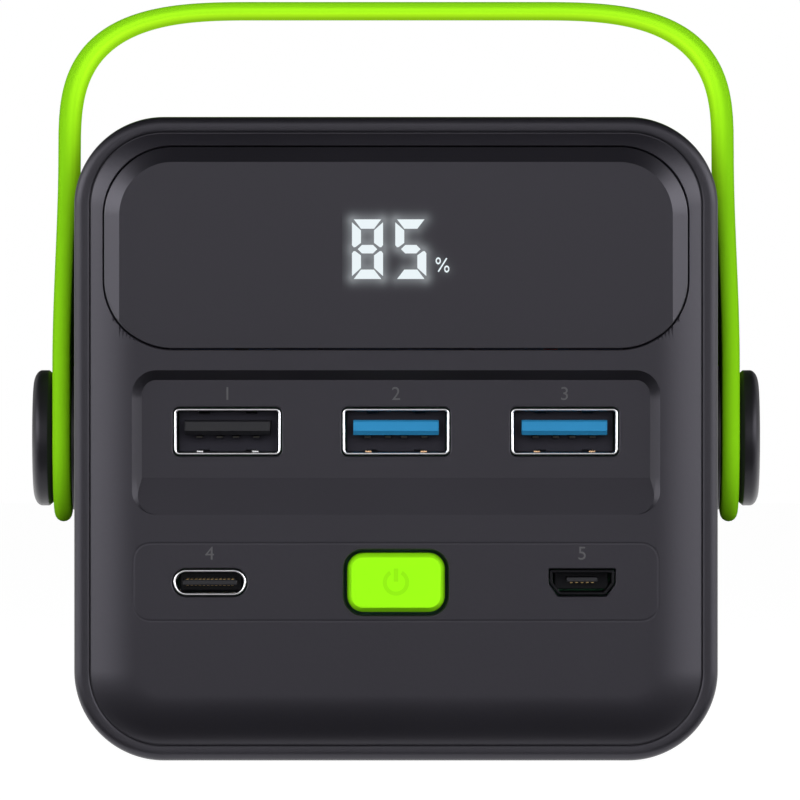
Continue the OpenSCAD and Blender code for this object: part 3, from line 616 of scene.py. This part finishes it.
def window_fall(points):
    """Depth of the window: a plane that falls evenly across the bevel, measured from a taller outline."""
    p = points - np.array([0, WINDOW_H + (WINDOW[1] - WINDOW_TALL[1]) / 2])
    return WINDOW_EDGE * (1 - np.clip(inside(p, *WINDOW_TALL) / WINDOW_BEVEL, 0, 1))


class MakeWindow(bpy.types.Operator):
    """Builds the display window with its bevel, and the digits that shine through it."""

    bl_idname = "station.window"
    bl_label = "Display window"

    def execute(self, context):
        points, normals = outline(*WINDOW, 24, 12)
        up = np.array([0, WINDOW_H])
        lip = 0.1
        tall, tall_n = outline(*WINDOW_TALL, 24, 2)
        tall = tall + up + np.array([0, (WINDOW[1] - WINDOW_TALL[1]) / 2])
        face = filled(points - normals * lip + up, [], [tall - tall_n * WINDOW_BEVEL], window_fall)
        fall = window_fall(points - normals * lip + up)
        wall = walled(points + up, normals, (0, 0, -lip), (0 * fall + 3, fall + lip, fall))
        kept = {"slot": "window_gloss", "replaces": ["display_window"]}
        make_piece("window_plate", joined(face, wall), window_finish(), sharp=20, depth=window_fall, **kept)
        bars = [bar + [x, DIGIT_MID] for x, number in DIGIT_X for bar in digit_bars(number)]
        sign = [moved(part, PERCENT[0], 0, PERCENT[1]) for part in percent_bars()]
        digits = joined(*[plate(bar, DIGIT_PROUD) for bar in bars], *sign)
        make_piece("lit_digits", digits, glow_finish(), slot="display_white")
        halo = make_piece("digit_halo", halo_surface(), halo_finish(), slot="window_gloss")
        glow = halo.data.attributes.new("glow", "FLOAT", "POINT")
        co = np.empty(len(halo.data.vertices) * 3, np.float32)
        halo.data.vertices.foreach_get("co", co)
        at = (co.reshape(-1, 3) / MM - MIDDLE)[:, [0, 2]]
        glow.data.foreach_set("value", halo_level(at, bars).astype(np.float32))
        return {"FINISHED"}


LIT = {"8": (1, 1, 1, 1, 1, 1, 1), "5": (1, 0, 1, 1, 0, 1, 1)}
TOP_BAR = np.array([(-1.68, 3.65), (1.68, 3.65), (0.8, 2.5), (-0.8, 2.5)])
SIDE_BAR = np.array([(-1.9, 3.3), (-0.8, 2.3), (-0.8, 0.76), (-1.5, 0.24), (-1.7, 0.24), (-1.9, 0.5)])
MID_BAR = np.array([(-1.2, 0), (-0.68, 0.52), (0.68, 0.52), (1.2, 0), (0.68, -0.52), (-0.68, -0.52)])


def plate(points, top, thick=0.02):
    """A thin flat plate: one face over its outline, walked clockwise seen from behind, and a wall down from it."""
    points = np.asarray(points, float)
    n = len(points)
    x, h = points.T
    if (x * np.roll(h, -1) - h * np.roll(x, -1)).sum() < 0:
        points = points[::-1]
    ring = on_face(points, -top)
    verts = np.concatenate([ring, ring + np.array([0, thick, 0])])
    i = np.arange(n)
    k = (i + 1) % n
    wall = np.stack([i, i + n, k + n, k], 1).tolist()
    return verts, [list(range(n))] + wall


def digit_bars(number):
    """Outlines of a digit's lit bars, clockwise from the top one: mirror images of three mitred bars."""
    sides = [(SIDE_BAR, -1, 1), (SIDE_BAR, -1, -1), (TOP_BAR, 1, -1), (SIDE_BAR, 1, -1), (SIDE_BAR, 1, 1)]
    places = [(TOP_BAR, 1, 1), *sides, (MID_BAR, 1, 1)]
    return [bar * [sx, sh] for lit, (bar, sx, sh) in zip(LIT[number], places) if lit]


def halo_surface():
    """A fine flat grid just in front of the window, round the digits."""
    x = np.linspace(-6.6, 8.0, 122)
    h = np.linspace(-5.9, 5.9, 99) + DIGIT_MID
    grid = np.stack(np.broadcast_arrays(x[:, None], -FACE - 0.006, h[None, :]), -1)
    return grid.reshape(-1, 3), grid_faces(len(x), len(h), wrap=False)[:, ::-1]


def halo_level(points, bars):
    """Light scattered beside the bars: the sum over all bars of 0.125 exp(-(d / 0.72)^1.6), at most 0.18.
    Here d is the distance from a point to the nearest side of a bar."""
    total = np.zeros(len(points))
    for bar in bars + [np.array([(-0.5, 0.6), (0.5, -0.6), (0.1, 0)]) + PERCENT]:
        a, ab = bar[None], (np.roll(bar, -1, 0) - bar)[None]
        ap = points[:, None] - a
        t = np.clip((ap * ab).sum(-1) / (ab**2).sum(-1), 0, 1)
        d = np.linalg.norm(ap - ab * t[..., None], axis=-1).min(1)
        total += (0.125 if len(bar) > 3 else 0.04) * np.exp(-((d / 0.72) ** 1.6))
    edge = np.minimum(np.abs(points[:, 0] - 0.7) - 7.2, np.abs(points[:, 1] - DIGIT_MID) - 5.8)
    return np.minimum(total, 0.18) * (edge < 0)


def percent_bars():
    """A percent sign: two rings and a slanting bar."""
    a = np.linspace(0, 2 * np.pi, 24, endpoint=False)
    oval = np.stack([np.cos(a), np.sin(a)], 1) * [0.86, 1.14]
    rings = [ring_plate(oval, 0.38, 0.2, DIGIT_PROUD, s * 0.52, -s * 0.5) for s in (-1, 1)]
    bar = np.array([(0.98, 0.09), (-0.98, 0.09), (-0.98, -0.09), (0.98, -0.09)])
    c, d = math.cos(math.radians(58)), math.sin(math.radians(58))
    return [*rings, plate(bar @ np.array([[c, d], [-d, c]]), DIGIT_PROUD)]


def ring_plate(circle, outer, inner, top, x=0.0, h=0.0, wrap=True):
    """A flat ring, or an open part of one, between two circles of one centre."""
    flat = np.stack([circle * inner, circle * outer], 1) + [x, h]
    return on_face(flat, -top), grid_faces(len(circle), 2, wrap)[:, ::-1]


def glow_finish():
    """Lit plastic: its emission drifts slowly between two whites."""
    m = finish("display_white", (0.02, 0.02, 0.02), 0.4, Specular_IOR_Level=0.1)
    t = m.node_tree
    group = [n for n in t.nodes if n.type == "GROUP"][0]
    tone = blended(t, group.outputs["Tone"], case_settings().glow, 0.93, 1.01)
    plastic(t, Emission_Color=tone, Emission_Strength=0.95)
    return m


def window_finish(name="window_gloss"):
    """Smooth tinted plastic."""
    return finish(name, case_settings().window, 0.32, grain=2600, depth=0.03, Specular_Tint=SHEEN)


def halo_finish():
    """The window's plastic, lit from within by the level of scattered light in the attribute named glow."""
    m = window_finish("window_halo")
    level = put(m.node_tree, "Attribute", setup=[("attribute_name", "glow")]).outputs["Fac"]
    plastic(m.node_tree, Emission_Strength=level, Emission_Color=(*case_settings().glow, 1))
    return m


def socket_profile(wall, front, inner_depth, back=4.0):
    """Section of a sheet steel shell: up the outside, over the rounded mouth and down the inside."""
    r = wall / 2
    return [(0, front + back), (0, front + r)] + arc(-r, front + r, r, 0, -180, 6) + [(-wall, inner_depth)]


class MakeSockets(bpy.types.Operator):
    """Builds the shells, tongues, contacts and springs of the five sockets."""

    bl_idname = "station.sockets"
    bl_label = "Sockets"

    def execute(self, context):
        steel, black = steel_finish(), dark_finish()
        shade = finish("socket_shade", (0.05, 0.05, 0.06), 0.5, Metallic=0.4)
        blue = finish("socket_blue", trim_settings().tongue, 0.42, Specular_IOR_Level=0.3)
        core = finish("socket_core", (0.030, 0.029, 0.038), 0.6, Specular_IOR_Level=0.2)
        # Painted shade: the wide sockets' gold contacts get a near-black finish, which stands in for the shade they
        # lie in below the tongue.
        shaded_contact = finish("contact_painted_shade", (0.02, 0.018, 0.015), 0.4, Metallic=0.3)
        gold = finish("contact_gold", (0.72, 0.50, 0.22), 0.3, Metallic=1.0)
        leaf = finish("leaf_steel", (0.75, 0.75, 0.76), 0.4, Metallic=0.8)
        copper = finish("leaf_copper", (0.75, 0.47, 0.26), 0.4, Metallic=0.8)
        matt = finish("micro_shell", (0.004, 0.004, 0.005), 0.6, Specular_IOR_Level=0.12)

        d = POCKET_DEPTH
        low = -USB_A[1] / 2 + SHEET
        points, normals = outline(*USB_A, 0.65, 8, 2)
        shell = carried(points, normals, socket_profile(0.32, d, d + 0.6))
        throat = carried(points, normals, [(-0.32, d + 0.6), (-0.32, 12.5)])
        contacts = joined(*[moved(contact_surface(), k) for k in (-3.5, -1.0, 1.0, 3.5)])
        block = box_surface((-6.1, 9.5 - FACE, -2.5), (6.1, 10 - FACE, 2.5), 0.1)
        leaves = joined(*[moved(leaf_surface(sh), sx * 2.9) for sx in (-1, 1) for sh in (-1, 1)])
        dot = box_surface((-0.4, d + 1.6 - FACE, low), (0.4, d + 1.68 - FACE, low + 0.22), 0.03)
        dots = joined(moved(dot, -3.4), moved(dot, 3.4))
        for label, x, colour, place, metal in (
            ("left", -PITCH, black, "black_plastic", leaf),
            ("middle", 0.0, blue, "socket_blue", copper),
            ("right", PITCH, blue, "socket_blue", copper),
        ):
            for piece, part, material, slot, node, sharp in (
                ("mouth", shell, steel, "socket_steel", "shell", 50),
                ("throat", throat, shade, "socket_steel", None, 32),
                ("tongue", tongue_surface(), colour, place, "tongue", 32),
                ("contacts", contacts, shaded_contact, "contact_gold", "contacts", 32),
                ("core", block, core, "black_plastic", None, 32),
                # Painted shade: the spring leaves are steel, and get the black plastic finish for the shade they lie
                # in inside the mouth.
                ("springs", leaves, black, "socket_steel", None, 32),
                ("spring_tips", dots, metal, "socket_steel", None, 32),
            ):
                nodes = [f"usb_a_{label}_{node}"] if node else []
                at = moved(part, x, 0, UPPER_H)
                make_piece(f"{piece}_{label}", at, material, slot=slot, replaces=nodes, sharp=sharp)

        points, normals = outline(*USB_C, USB_C[1] / 2 - 0.01, 14, 2)
        shell_c = carried(points, normals, socket_profile(0.3, 0.0, 10))
        tongue_c = joined(
            box_surface((-3.35, -FACE + 0.7, -0.35), (3.35, -FACE + 10.2, 0.35), 0.12),
            box_surface((-3.9, -FACE + 8, -1.2), (3.9, -FACE + 12, 1.2), 0.2),
        )
        shell_micro = carried(*micro_outline(), socket_profile(0.35, 0.0, 10))
        tongue_micro = joined(
            box_surface((-1.9, -FACE + 0.6, 0.05), (1.9, -FACE + 12, 0.65), 0.08),
            box_surface((-3.3, -FACE + 7, -0.9), (3.3, -FACE + 12, 1.15), 0.1),
        )
        for label, node, x, part, material, slot, tongue in (
            ("c", "usb_c", -LOWER_X, shell_c, steel, "socket_steel", tongue_c),
            ("micro", "micro_usb", LOWER_X, shell_micro, matt, "black_plastic", tongue_micro),
        ):
            at = moved(part, x, 0, LOWER_H)
            make_piece(f"mouth_{label}", at, material, slot=slot, replaces=[f"{node}_shell"], sharp=50)
            at = moved(tongue, x, 0, LOWER_H)
            make_piece(f"tongue_{label}", at, black, slot="black_plastic", replaces=[f"{node}_tongue"])
            repaint(f"{node}_contacts", gold)
        return {"FINISHED"}


def pushed(x, rows):
    """A side outline of points (h, depth) pushed across the width: a row for each x, and a face over either end."""
    x = np.array(x)
    n, m = len(x), len(rows[0])
    rows = np.broadcast_to(rows, (n, m, 2))
    flat = np.stack([np.broadcast_to(x[:, None], (n, m)), rows[..., 0]], -1)
    ends = [list(range(m)), list(range(n * m - 1, n * m - m - 1, -1))]
    return on_face(flat, rows[..., 1]), grid_faces(n, m, wrap=False)[:, ::-1].tolist() + ends


def tongue_surface():
    """The tongue of a wide socket: its side outline, with a sloped nose, pushed across its width."""
    side = np.array([(-0.42, 12), (-0.42, 2.6), (0.1, 2.0), (1.2, 2.0), (1.42, 2.3), (1.42, 12)])
    cut = np.array([0.08, 0, 0, 0.08])
    rows = side[None] + (side.mean(0) - side)[None] * cut[:, None, None] * 0.3
    back = box_surface((-6, 12 - FACE, -2.4), (6, 12.4 - FACE, 2.4), 0.1)
    return joined(pushed([-5.25, -5.15, 5.15, 5.25], rows), back)


def contact_surface():
    """A contact: a strip whose front end turns up towards the tongue's nose."""
    side = np.array([(-0.5, 9.6), (-0.82, 4.4), (-0.72, 3.3), (-0.6, 3.3), (-0.66, 4.4), (-0.38, 9.6)])
    return pushed([-0.36, 0.36], side[None])


def leaf_surface(side):
    """A spring leaf of the shell: its height follows one arch of a cosine, bowed into the mouth."""
    t = np.linspace(0, 1, 17)[:, None]
    x = np.array([[-0.7, -0.65, 0.65, 0.7]])
    n, m = t.size, x.size
    up = (USB_A[1] / 2 - SHEET) - 0.34 * (0.5 - 0.5 * np.cos(2 * np.pi * t)) + [[0.05, 0, 0, 0.05]]
    flat = np.stack([np.broadcast_to(x, (n, m)), up], -1)
    top = on_face(flat, POCKET_DEPTH + 1.7 + 4.8 * t)
    faces = grid_faces(n, m, wrap=False)
    grid = np.concatenate([top, top + np.array([0, 0, 0.15])])
    both = np.concatenate([faces, faces[:, ::-1] + n * m])
    return (grid, both) if side > 0 else (grid * np.array([1, 1, -1]), both[:, ::-1])


class MakeButton(bpy.types.Operator):
    """Builds the power button with its soft edges and its sign."""

    bl_idname = "station.button"
    bl_label = "Power button"

    def execute(self, context):
        w, h, r = BUTTON
        points, normals = outline(w, h, r, 14, 4)
        top = -BUTTON_PROUD
        flat = 0.95
        section = [(0, 3.2), (0, top + 1.5), (-0.03, top + 1.38), (-0.5, top + 0.12), (-0.56, top + 0.03)]
        part = carried(points, normals, section + [(-0.66, top), (-flat, top)])
        face = filled(points - normals * flat, [], [], lambda p: 0 * p[:, 0] + top)
        cap = moved(joined(part, face), 0, 0, LOWER_H)
        green = finish("button_green", trim_settings().button, 0.5, depth=0.05, Specular_IOR_Level=0.1)
        kept = {"body": "button", "slot": "button_green"}
        make_piece("button_cap", cap, green, replaces=["power_button"], sharp=28, **kept)
        a = np.radians(np.linspace(120, 420, 40))
        proud = BUTTON_PROUD + SIGN_THICK
        ring = ring_plate(np.stack([np.cos(a), np.sin(a)], 1), 1.62, 1.12, proud, wrap=False)
        bar = plate([(0.28, 0.1), (0.28, 1.7), (-0.28, 1.7), (-0.28, 0.1)], proud, SIGN_THICK)
        darker = tuple(c * 0.84 for c in trim_settings().button)
        ink = finish("button_sign", darker, 0.5, Specular_IOR_Level=0.1)
        make_piece("button_sign", moved(joined(ring, bar), 0, 0, LOWER_H + 0.02), ink, **kept)
        return {"FINISHED"}


class MakeHandle(bpy.types.Operator):
    """Builds the carry strap from pivot to pivot."""

    bl_idname = "station.handle"
    bl_label = "Carry strap"

    def execute(self, context):
        kept = {"body": "handle", "slot": "handle_green", "replaces": ["handle"]}
        make_piece("carry_strap", strap_surface(), strap_finish(), sharp=50, **kept)
        return {"FINISHED"}


STRAP_W = 21.0
LEG_T, BAR_T = 2.2, 1.55
EYE_MID = WIDTH / 2 + 1.15 + LEG_T / 2
LEG_X = WIDTH / 2 + 1.5
BAR_MID = 52.8 + BAR_T / 2
ARCH = (24.0, 17.9, 3.1)


def strap_line():
    """Middle line of half the strap, from the round end under the pivot up to the crown of the arch.
    The leg leans in by a smooth step, and the arch is x = a cos(t)^(2/n), z = b sin(t)^(2/n)."""
    a, b, n = ARCH
    rise = BAR_MID - b
    end = -STRAP_W / 2 * np.cos(np.linspace(0, np.pi / 2, 14))
    leg = np.linspace(0, rise, 26)[1:]
    u = np.clip((leg - 9) / (rise - 9), 0, 1)
    leg_x = EYE_MID + (LEG_X - EYE_MID) * (3 * u * u - 2 * u**3)
    t = np.radians(np.concatenate([[3, 6], np.linspace(9, 90, 52)]))
    arch_x = LEG_X - a + a * np.maximum(np.cos(t), 0) ** (2 / n)
    arch_z = rise + b * np.sin(t) ** (2 / n)
    thick = LEG_T + (BAR_T - LEG_T) * np.sin(t) ** 2
    x = np.concatenate([np.full(14, EYE_MID), leg_x, arch_x])
    z = np.concatenate([end, leg, arch_z])
    return x, z, np.concatenate([np.full(39, LEG_T), thick])


def strap_surface():
    """The strap's section, flat faces between half-round edges, carried along its middle line.
    Under each pivot its half width follows the circle sqrt(R² - z²), which gives the round end."""
    x, z, thick = strap_line()
    x = np.concatenate([x, -x[-2::-1]])
    z = np.concatenate([z, z[-2::-1]])
    thick = np.concatenate([thick, thick[-2::-1]])
    dx, dz = np.gradient(x), np.gradient(z)
    size = np.hypot(dx, dz)
    dx, dz = dx / size, dz / size
    low = z < 0
    dx[low], dz[low] = 0, np.where(x[low] > 0, 1, -1)
    out = np.stack([dz, -dx], 1)
    half = np.where(low, np.sqrt(np.maximum((STRAP_W / 2) ** 2 - z**2, 0)), STRAP_W / 2)
    a = np.linspace(-np.pi / 2, np.pi / 2, 13)
    r = np.minimum(thick, 2 * half) / 2
    edge_a, edge_y = np.sin(a), np.cos(a)
    across = np.concatenate([edge_a, -edge_a])[None, :] * (thick / 2)[:, None]
    y_one = (half - r)[:, None] + r[:, None] * edge_y[None, :]
    y = np.concatenate([y_one, -y_one], 1)
    deep = np.clip((np.abs(z) - STRAP_W / 2 + LEG_T / 2) / (LEG_T / 2), 0, 1) * low
    most = (thick / 2 * np.sqrt(1 - deep**2))[:, None]
    ring = STRAP_W / 2 - LEG_T / 2 + np.sqrt(np.maximum((LEG_T / 2) ** 2 - np.clip(across, -most, most) ** 2, 0))
    across = np.where(low[:, None], np.clip(across, -most, most), across)
    round_y = np.sqrt(np.maximum(ring**2 - z[:, None] ** 2, 0)) * np.sign(y)
    y = np.where(low[:, None], round_y, y)
    px = x[:, None] + across * out[:, :1]
    pz = z[:, None] + across * out[:, 1:]
    grid = np.stack([px, y, pz], -1)
    n, m = grid.shape[:2]
    faces = grid_faces(n, m, wrap=False)
    row = np.arange(n - 1) * m
    close = np.stack([row + m - 1, row + 2 * m - 1, row + m, row], 1)
    return grid.reshape(-1, 3), np.concatenate([faces, close])[:, ::-1]


def strap_finish():
    """Plastic without gloss, with painted light: its arch glows towards the middle of the loop, most at the front,
    an emission that stands in for light falling on the loop's inner side and front edge.
    """
    colour = trim_settings().strap
    m = finish("strap_plastic", colour, 0.7, grain=1500, depth=0.06, spread=0.04, Specular_IOR_Level=0.0)
    t = m.node_tree
    # Painted light: the emission below is no lamp. It is masked by which way the surface faces, by height on the
    # arch and by depth, and stands in for light on the strap.
    place = put(t, "TexCoord").outputs
    point = put(t, "SeparateXYZ", place["Object"]).outputs
    inwards = worked(t, "SUBTRACT", (0, 0, MIDDLE[2] * MM), place["Object"], kind="VectorMath")
    unit = worked(t, "NORMALIZE", inwards, kind="VectorMath")
    setup = [("operation", "DOT_PRODUCT")]
    facing = put(t, "VectorMath", unit, place["Normal"], setup=setup).outputs["Value"]
    glow = worked(t, "ADD", mapped(t, facing, -0.5, 0.2, 0.0, 0.45), mapped(t, facing, 0.3, 0.95, 0.0, 0.4))
    glow = worked(t, "MULTIPLY", glow, mapped(t, point["Z"], 0.062, 0.09, 0.0, 1.0))
    glow = worked(t, "MULTIPLY", glow, mapped(t, point["Y"], -0.0095, 0.006, 1.1, 0.65))
    plastic(t, Emission_Strength=glow, Emission_Color=(0.42, 0.85, 0.014, 1))
    return m


class MakePivots(bpy.types.Operator):
    """Builds the pivot caps at the two ends of the handle."""

    bl_idname = "station.pivots"
    bl_label = "Pivot caps"

    def execute(self, context):
        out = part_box("pivot_cap_right")[1].x / MM
        base = out - 2.5
        r = 8.5
        gloss = {"Specular_IOR_Level": 0.3, "Specular_Tint": SHEEN}
        black = finish("cap_plastic", (0.009, 0.0085, 0.0105), 0.4, depth=0.1, **gloss)
        nylon = finish("nylon", (0.02, 0.02, 0.02), 0.5)
        section = [(4.3, base), (r - 0.45, base)] + arc(r - 0.25, base + 0.6, 0.25, -40, 0, 3)
        section += [(r - 1.9 + 1.9 * math.cos(t), out - 1.1 + 1.08 * math.sin(t)) for t in np.linspace(0, 1.45, 11)]
        section += [(r - 2.25, out - 0.012), (r - 2.5, out - 0.1), (r - 2.8, out - 0.1)]
        section += [(4.5, out - 0.05), (2, out - 0.012), (0, out)]
        for side, label in ((-1, "left"), (1, "right")):
            kept = {"slot": "cap_plastic", "replaces": [f"pivot_cap_{label}"]}
            make_piece(f"cap_{label}", revolved(section, side), black, sharp=30, **kept)
            repaint(f"friction_washer_{label}", nylon)
            for node in ("pivot_bush", "pivot_screw", "screw_washer"):
                repaint(f"{node}_{label}", steel_finish())
        return {"FINISHED"}


class MakeMarks(bpy.types.Operator):
    """Prints plain numbers beside the sockets."""

    bl_idname = "station.marks"
    bl_label = "Numbers"

    def execute(self, context):
        ink = finish("printed_ink", case_settings().mark, 0.6)
        upper = [("1", -PITCH), ("2", 0.0), ("3", PITCH)]
        parts = [number_surface(text, x, 5.45, POCKET_DEPTH) for text, x in upper]
        parts += [number_surface(text, x, -14.1, 0.0) for text, x in (("4", -LOWER_X), ("5", LOWER_X))]
        make_piece("printed_numbers", joined(*parts), ink, slot="panel_plastic")
        return {"FINISHED"}


def number_surface(text, x, h, depth):
    """A printed number: the outline of a plain numeral as a flat mesh on the face."""
    curve = bpy.data.curves.new("numeral", "FONT")
    curve.body = text
    curve.align_x = curve.align_y = "CENTER"
    curve.size = NUMBER_SIZE
    holder = bpy.data.objects.new("numeral", curve)
    bpy.context.scene.collection.objects.link(holder)
    bpy.context.view_layer.update()
    mesh = bpy.data.meshes.new_from_object(holder.evaluated_get(bpy.context.evaluated_depsgraph_get()))
    co = np.array([v.co[:] for v in mesh.vertices])
    faces = [list(p.vertices) for p in mesh.polygons]
    bpy.data.objects.remove(holder)
    bpy.data.meshes.remove(mesh)
    bpy.data.curves.remove(curve)
    return on_face(co[:, :2] + [x, h], depth - 0.01), faces


class MakeFeet(bpy.types.Operator):
    """Builds the thin rubber feet."""

    bl_idname = "station.feet"
    bl_label = "Feet"

    def execute(self, context):
        lo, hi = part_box("feet")
        bottom = lo.z / MM - MIDDLE[2]
        r = 4.5
        cx = hi.x / MM - r
        cy = hi.y / MM - MIDDLE[1] - r
        section = np.array([(r, 1.2), (r, 0.07), (r - 0.07, 0.01), (r - 0.3, 0), (0, 0)])
        a = np.linspace(0, 2 * np.pi, 64, endpoint=False)[:, None]
        across, up = section.T[:, None]
        grid = np.stack([across * np.cos(a), across * np.sin(a), bottom + up + 0 * a], -1)
        faces = grid_faces(64, len(section))[:, ::-1]
        pads = [moved((grid.reshape(-1, 3), faces), x * cx, y * cy) for x in (-1, 1) for y in (-1, 1)]
        rubber = finish("foot_rubber", (0.02, 0.02, 0.02), 0.75, grain=900, depth=0.2)
        make_piece("foot_pads", joined(*pads), rubber, slot="foot_rubber", replaces=["feet"])
        return {"FINISHED"}


class PaintInside(bpy.types.Operator):
    """Gives the pieces inside the case their finishes."""

    bl_idname = "station.inside"
    bl_label = "Inner pieces"

    def execute(self, context):
        wrap = finish("cell_wrap", (0.03, 0.10, 0.26), 0.3, grain=300, depth=0.05)
        for material, nodes in (
            (glow_finish(), ["digit_guides"]),
            (dark_finish(), ["display_block", "switch_plunger", "power_chips", "chassis_tray", "top_holder"]),
            (steel_finish(), ["switch_body", "board_screws", "case_screws"]),
            (finish("board_green", (0.02, 0.10, 0.045), 0.35, grain=600), ["display_board", "port_board"]),
            (finish("ferrite", (0.05, 0.05, 0.055), 0.6, grain=700), ["power_inductors"]),
            (finish("can_aluminium", (0.6, 0.6, 0.62), 0.3, Metallic=1.0), ["power_capacitors"]),
            (finish("nickel", (0.62, 0.6, 0.56), 0.25, Metallic=1.0), ["cell_strips"]),
            (finish("lead_red", (0.45, 0.02, 0.015), 0.5), ["lead_positive"]),
            (finish("lead_black", (0.015, 0.015, 0.015), 0.5), ["lead_negative"]),
            (wrap, [f"cell_{i}" for i in range(1, 7)]),
        ):
            for node in nodes:
                repaint(node, material)
        return {"FINISHED"}


# ---------------------------------------------------------------- studio

WHITE = (1, 1, 1, 1)


def lamp(name, size, power, at, towards):
    """A soft rectangular lamp that faces a point and isn't seen in mirrors, whose light is the world's."""
    data = bpy.data.lights.new(name, "AREA")
    data.shape = "RECTANGLE"
    data.size, data.size_y = size
    data.energy = power
    light = bpy.data.objects.new(name, data)
    light.location = at
    light.visible_glossy = False
    aim = Matrix.Translation(at).to_translation() - Matrix.Translation(towards).to_translation()
    light.rotation_euler = aim.to_track_quat("Z", "Y").to_euler()
    bpy.context.scene.collection.objects.link(light)
    return light


def seen_mask(tree):
    """1 for rays from the camera, mirrors and glass, and 0 for all others."""
    path = put(tree, "LightPath").outputs
    first = worked(tree, "MAXIMUM", path["Is Camera Ray"], path["Is Glossy Ray"])
    return path, worked(tree, "MAXIMUM", first, path["Is Transmission Ray"])


def light_world(tree):
    """White to the camera and an even dim light to matt surfaces.
    To mirrors it is a studio: bright walls at both sides, a pale one in front, and a dim ceiling."""
    tree.nodes.clear()
    path, seen = seen_mask(tree)
    axes = put(tree, "SeparateXYZ", put(tree, "TexCoord").outputs["Generated"]).outputs
    walls = mapped(tree, worked(tree, "ABSOLUTE", axes["X"]), 0.12, 0.75, 1.22, 5.2)
    level = worked(tree, "MULTIPLY", walls, mapped(tree, axes["Z"], 0.33, 0.62, 1.0, 0.02))
    level = worked(tree, "MULTIPLY", level, mapped(tree, axes["Y"], -0.15, 0.3, 1.0, 0.12))
    choice = put(tree, "Mix", Factor=path["Is Glossy Ray"], A=1.0, B=level).outputs["Result"]
    dim = put(tree, "Background", Color=WHITE, Strength=0.14).outputs[0]
    studio = put(tree, "Background", Color=WHITE, Strength=choice).outputs[0]
    put(tree, "OutputWorld", Surface=put(tree, "MixShader", seen, dim, studio).outputs[0])


def floor_finish():
    """White paper that glows to the camera, so that it is white round the object and keeps a soft shadow.
    To mirrors it is dark in front of the object and pale behind it, as with a black card laid down in front."""
    m = finish("floor_paper", (0.2, 0.2, 0.2), 0.9, spread=0.01, depth=0.0, Specular_IOR_Level=0.0)
    t = m.node_tree
    path, seen = seen_mask(t)
    axes = put(t, "SeparateXYZ", put(t, "TexCoord").outputs["Object"]).outputs
    card = mapped(t, axes["Y"], -0.0307, -0.0300, 0.06, 1.5, shape="LINEAR")
    glow = put(t, "Mix", Factor=path["Is Camera Ray"], A=card, B=0.96).outputs["Result"]
    plastic(t, Emission_Strength=worked(t, "MULTIPLY", glow, seen), Emission_Color=WHITE)
    return m


# side and front lamps and the camera, in metres, and the camera's film and lens, in millimetres
SIDE_LAMP = (0.63, -0.26, 0.13)
FRONT_LAMP = (0.0, -1.3, 0.04)
EYE_X, EYE_Z = 0.00049, 0.0444
FILM, LENS = 36, 441


class MakeStage(bpy.types.Operator):
    """Builds the floor, the lamps, the world and the camera."""

    bl_idname = "station.stage"
    bl_label = "Studio"

    def execute(self, context):
        s = context.scene.station_stage
        scene = context.scene
        scene.view_settings.view_transform = "Standard"
        mesh = bpy.data.meshes.new("floor")
        e = 3.0
        mesh.from_pydata([(-e, -e, 0), (e, -e, 0), (e, e, 0), (-e, e, 0)], [], [(0, 1, 2, 3)])
        floor = bpy.data.objects.new("floor", mesh)
        scene.collection.objects.link(floor)
        mesh.materials.append(floor_finish())

        world = bpy.data.worlds.new("studio")
        scene.world = world
        world.use_nodes = True
        light_world(world.node_tree)

        mid = tuple(MIDDLE * MM)
        for side, label in ((-1, "left_box"), (1, "right_box")):
            lamp(label, (0.7, 0.6), s.side_power, (side * SIDE_LAMP[0], *SIDE_LAMP[1:]), mid)
        lamp("front_lamp", (0.4, 0.4), s.front_power, FRONT_LAMP, mid)

        cam = bpy.data.cameras.new("photo_camera")
        cam.sensor_width, cam.lens = FILM, LENS
        cam.clip_start, cam.clip_end = 0.05, 20
        camera = bpy.data.objects.new("photo_camera", cam)
        camera.location = (EYE_X, (MIDDLE[1] - FACE) * MM - s.distance, EYE_Z)
        camera.rotation_euler = (math.pi / 2, 0, 0)
        scene.collection.objects.link(camera)
        scene.camera = camera
        return {"FINISHED"}


# ---------------------------------------------------------------- panel and registration

MAKERS = (
    MakeShell,
    MakeFront,
    MakeBack,
    MakeWindow,
    MakeSockets,
    MakeButton,
    MakeHandle,
    MakePivots,
    MakeMarks,
    MakeFeet,
    PaintInside,
    MakeStage,
)


class StationPanel(bpy.types.Panel):
    """Lists the settings and the makers of the power station."""

    bl_idname = "VIEW3D_PT_station"
    bl_label = "Power station"
    bl_space_type = "VIEW_3D"
    bl_region_type = "UI"
    bl_category = "Power station"

    def draw(self, context):
        for group in (context.scene.station_case, context.scene.station_trim, context.scene.station_stage):
            for key in group.__annotations__:
                self.layout.prop(group, key)
        for maker in MAKERS:
            self.layout.operator(maker.bl_idname)


CLASSES = (CaseSettings, TrimSettings, StageSettings, *MAKERS, StationPanel)


def register():
    for c in CLASSES:
        bpy.utils.register_class(c)
    bpy.types.Scene.station_case = bpy.props.PointerProperty(type=CaseSettings)
    bpy.types.Scene.station_trim = bpy.props.PointerProperty(type=TrimSettings)
    bpy.types.Scene.station_stage = bpy.props.PointerProperty(type=StageSettings)


def unregister():
    for c in reversed(CLASSES):
        bpy.utils.unregister_class(c)
    del bpy.types.Scene.station_case, bpy.types.Scene.station_trim, bpy.types.Scene.station_stage


def main():
    register()
    for maker in MAKERS:
        group, name = maker.bl_idname.split(".")
        if getattr(getattr(bpy.ops, group), name)() != {"FINISHED"}:
            raise RuntimeError(f"{maker.bl_label} wasn't built")


if __name__ == "__main__":
    main()
